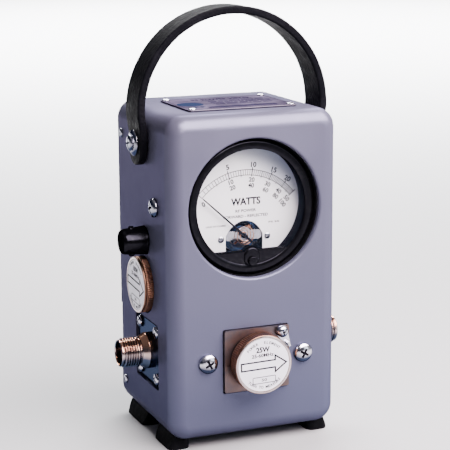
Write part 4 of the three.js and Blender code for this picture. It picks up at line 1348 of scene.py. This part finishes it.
def adjuster():
    front = CASE_FRONT - 0.4 - GAP
    end = -27.2
    head_line = [(0, front - 1.2), (2.3, front - 1.2), (2.6, front), (1.6, front), (1.6, end), (0, end)]
    slot = brick(7, 1.5, 0.8, 0, front - 1.3, 0)
    pin = rod(0.5, -27.4, -26, along_y(1), 16)
    to = Matrix.Translation((0, 0, ADJUSTER.z))
    finer("zero_adjuster", moved(lathe(fillet(head_line, 0.3), 48), to @ along_y(0)),
          cut=[moved(slot, to @ Matrix.Rotation(math.radians(35), 4, "Y"))], add=[moved(pin, to)], sharp=35)


adjuster()

# ---------- CAD nodes that stay ----------
for name, node_object in frame["nodes"].items():
    if node_object.hide_render:
        continue
    if node_object.material_slots:
        for material_slot in node_object.material_slots:
            material_slot.material = LOOKS[SLOT_OF[name]]
    else:
        node_object.data.materials.append(LOOKS[SLOT_OF[name]])


# ---------- floor and light ----------
def make_floor():
    mesh = bpy.data.meshes.new("floor")
    size = 30
    corners = [(-size, -size, 0), (size, -size, 0), (size, size, 0), (-size, size, 0)]
    mesh.from_pydata(corners, [], [(0, 1, 2, 3)])
    floor = bpy.data.objects.new("floor", mesh)
    bpy.context.scene.collection.objects.link(floor)
    look = Look("floor_pale", (0.33, 0.33, 0.34), 0.9, **{"Specular IOR Level": 0.05})
    mesh.materials.append(look.material)


make_floor()


def area_light(name, place, target, width, height, power, colour, spread=180):
    data = bpy.data.lights.new(name, "AREA")
    data.spread = math.radians(spread)
    data.shape = "RECTANGLE"
    data.size, data.size_y = width, height
    data.energy = power
    data.color = colour
    lamp = bpy.data.objects.new(name, data)
    bpy.context.scene.collection.objects.link(lamp)
    lamp.location = place
    lamp.rotation_mode = "QUATERNION"
    lamp.rotation_quaternion = (Vector(target) - Vector(place)).to_track_quat("-Z", "Y")


def make_light():
    world = bpy.data.worlds.new("studio")
    bpy.context.scene.world = world
    world.use_nodes = True
    nodes, links = world.node_tree.nodes, world.node_tree.links
    back = nodes["Background"]
    place = nodes.new("ShaderNodeTexCoord")
    lean = nodes.new("ShaderNodeVectorMath")
    lean.operation = "DOT_PRODUCT"
    lean.inputs[1].default_value = (0.32, -0.12, 0.94)
    links.new(place.outputs["Generated"], lean.inputs[0])
    ramp = nodes.new("ShaderNodeValToRGB")
    stops = ramp.color_ramp.elements
    stops[0].position, stops[0].color = 0.0, (0.03, 0.045, 0.10, 1)
    stops[1].position, stops[1].color = 0.8, (0.85, 0.82, 0.86, 1)
    links.new(lean.outputs["Value"], ramp.inputs["Fac"])
    links.new(ramp.outputs["Color"], back.inputs["Color"])
    back.inputs["Strength"].default_value = 0.35
    area_light("top_soft", (0.22, -0.33, 0.53), (0, -0.02, 0.17), 0.75, 0.5, 31, (1.0, 0.88, 0.90))
    area_light("front_right", (1.1, -1.5, 0.5), (0, 0, 0.1), 0.8, 0.8, 6, (0.9, 0.95, 1.0))
    area_light("back_floor", (1.0, 2.5, 1.9), (0.95, 2.3, 0), 2.6, 2.4, 860, (1.0, 1.0, 1.0), 110)


make_light()
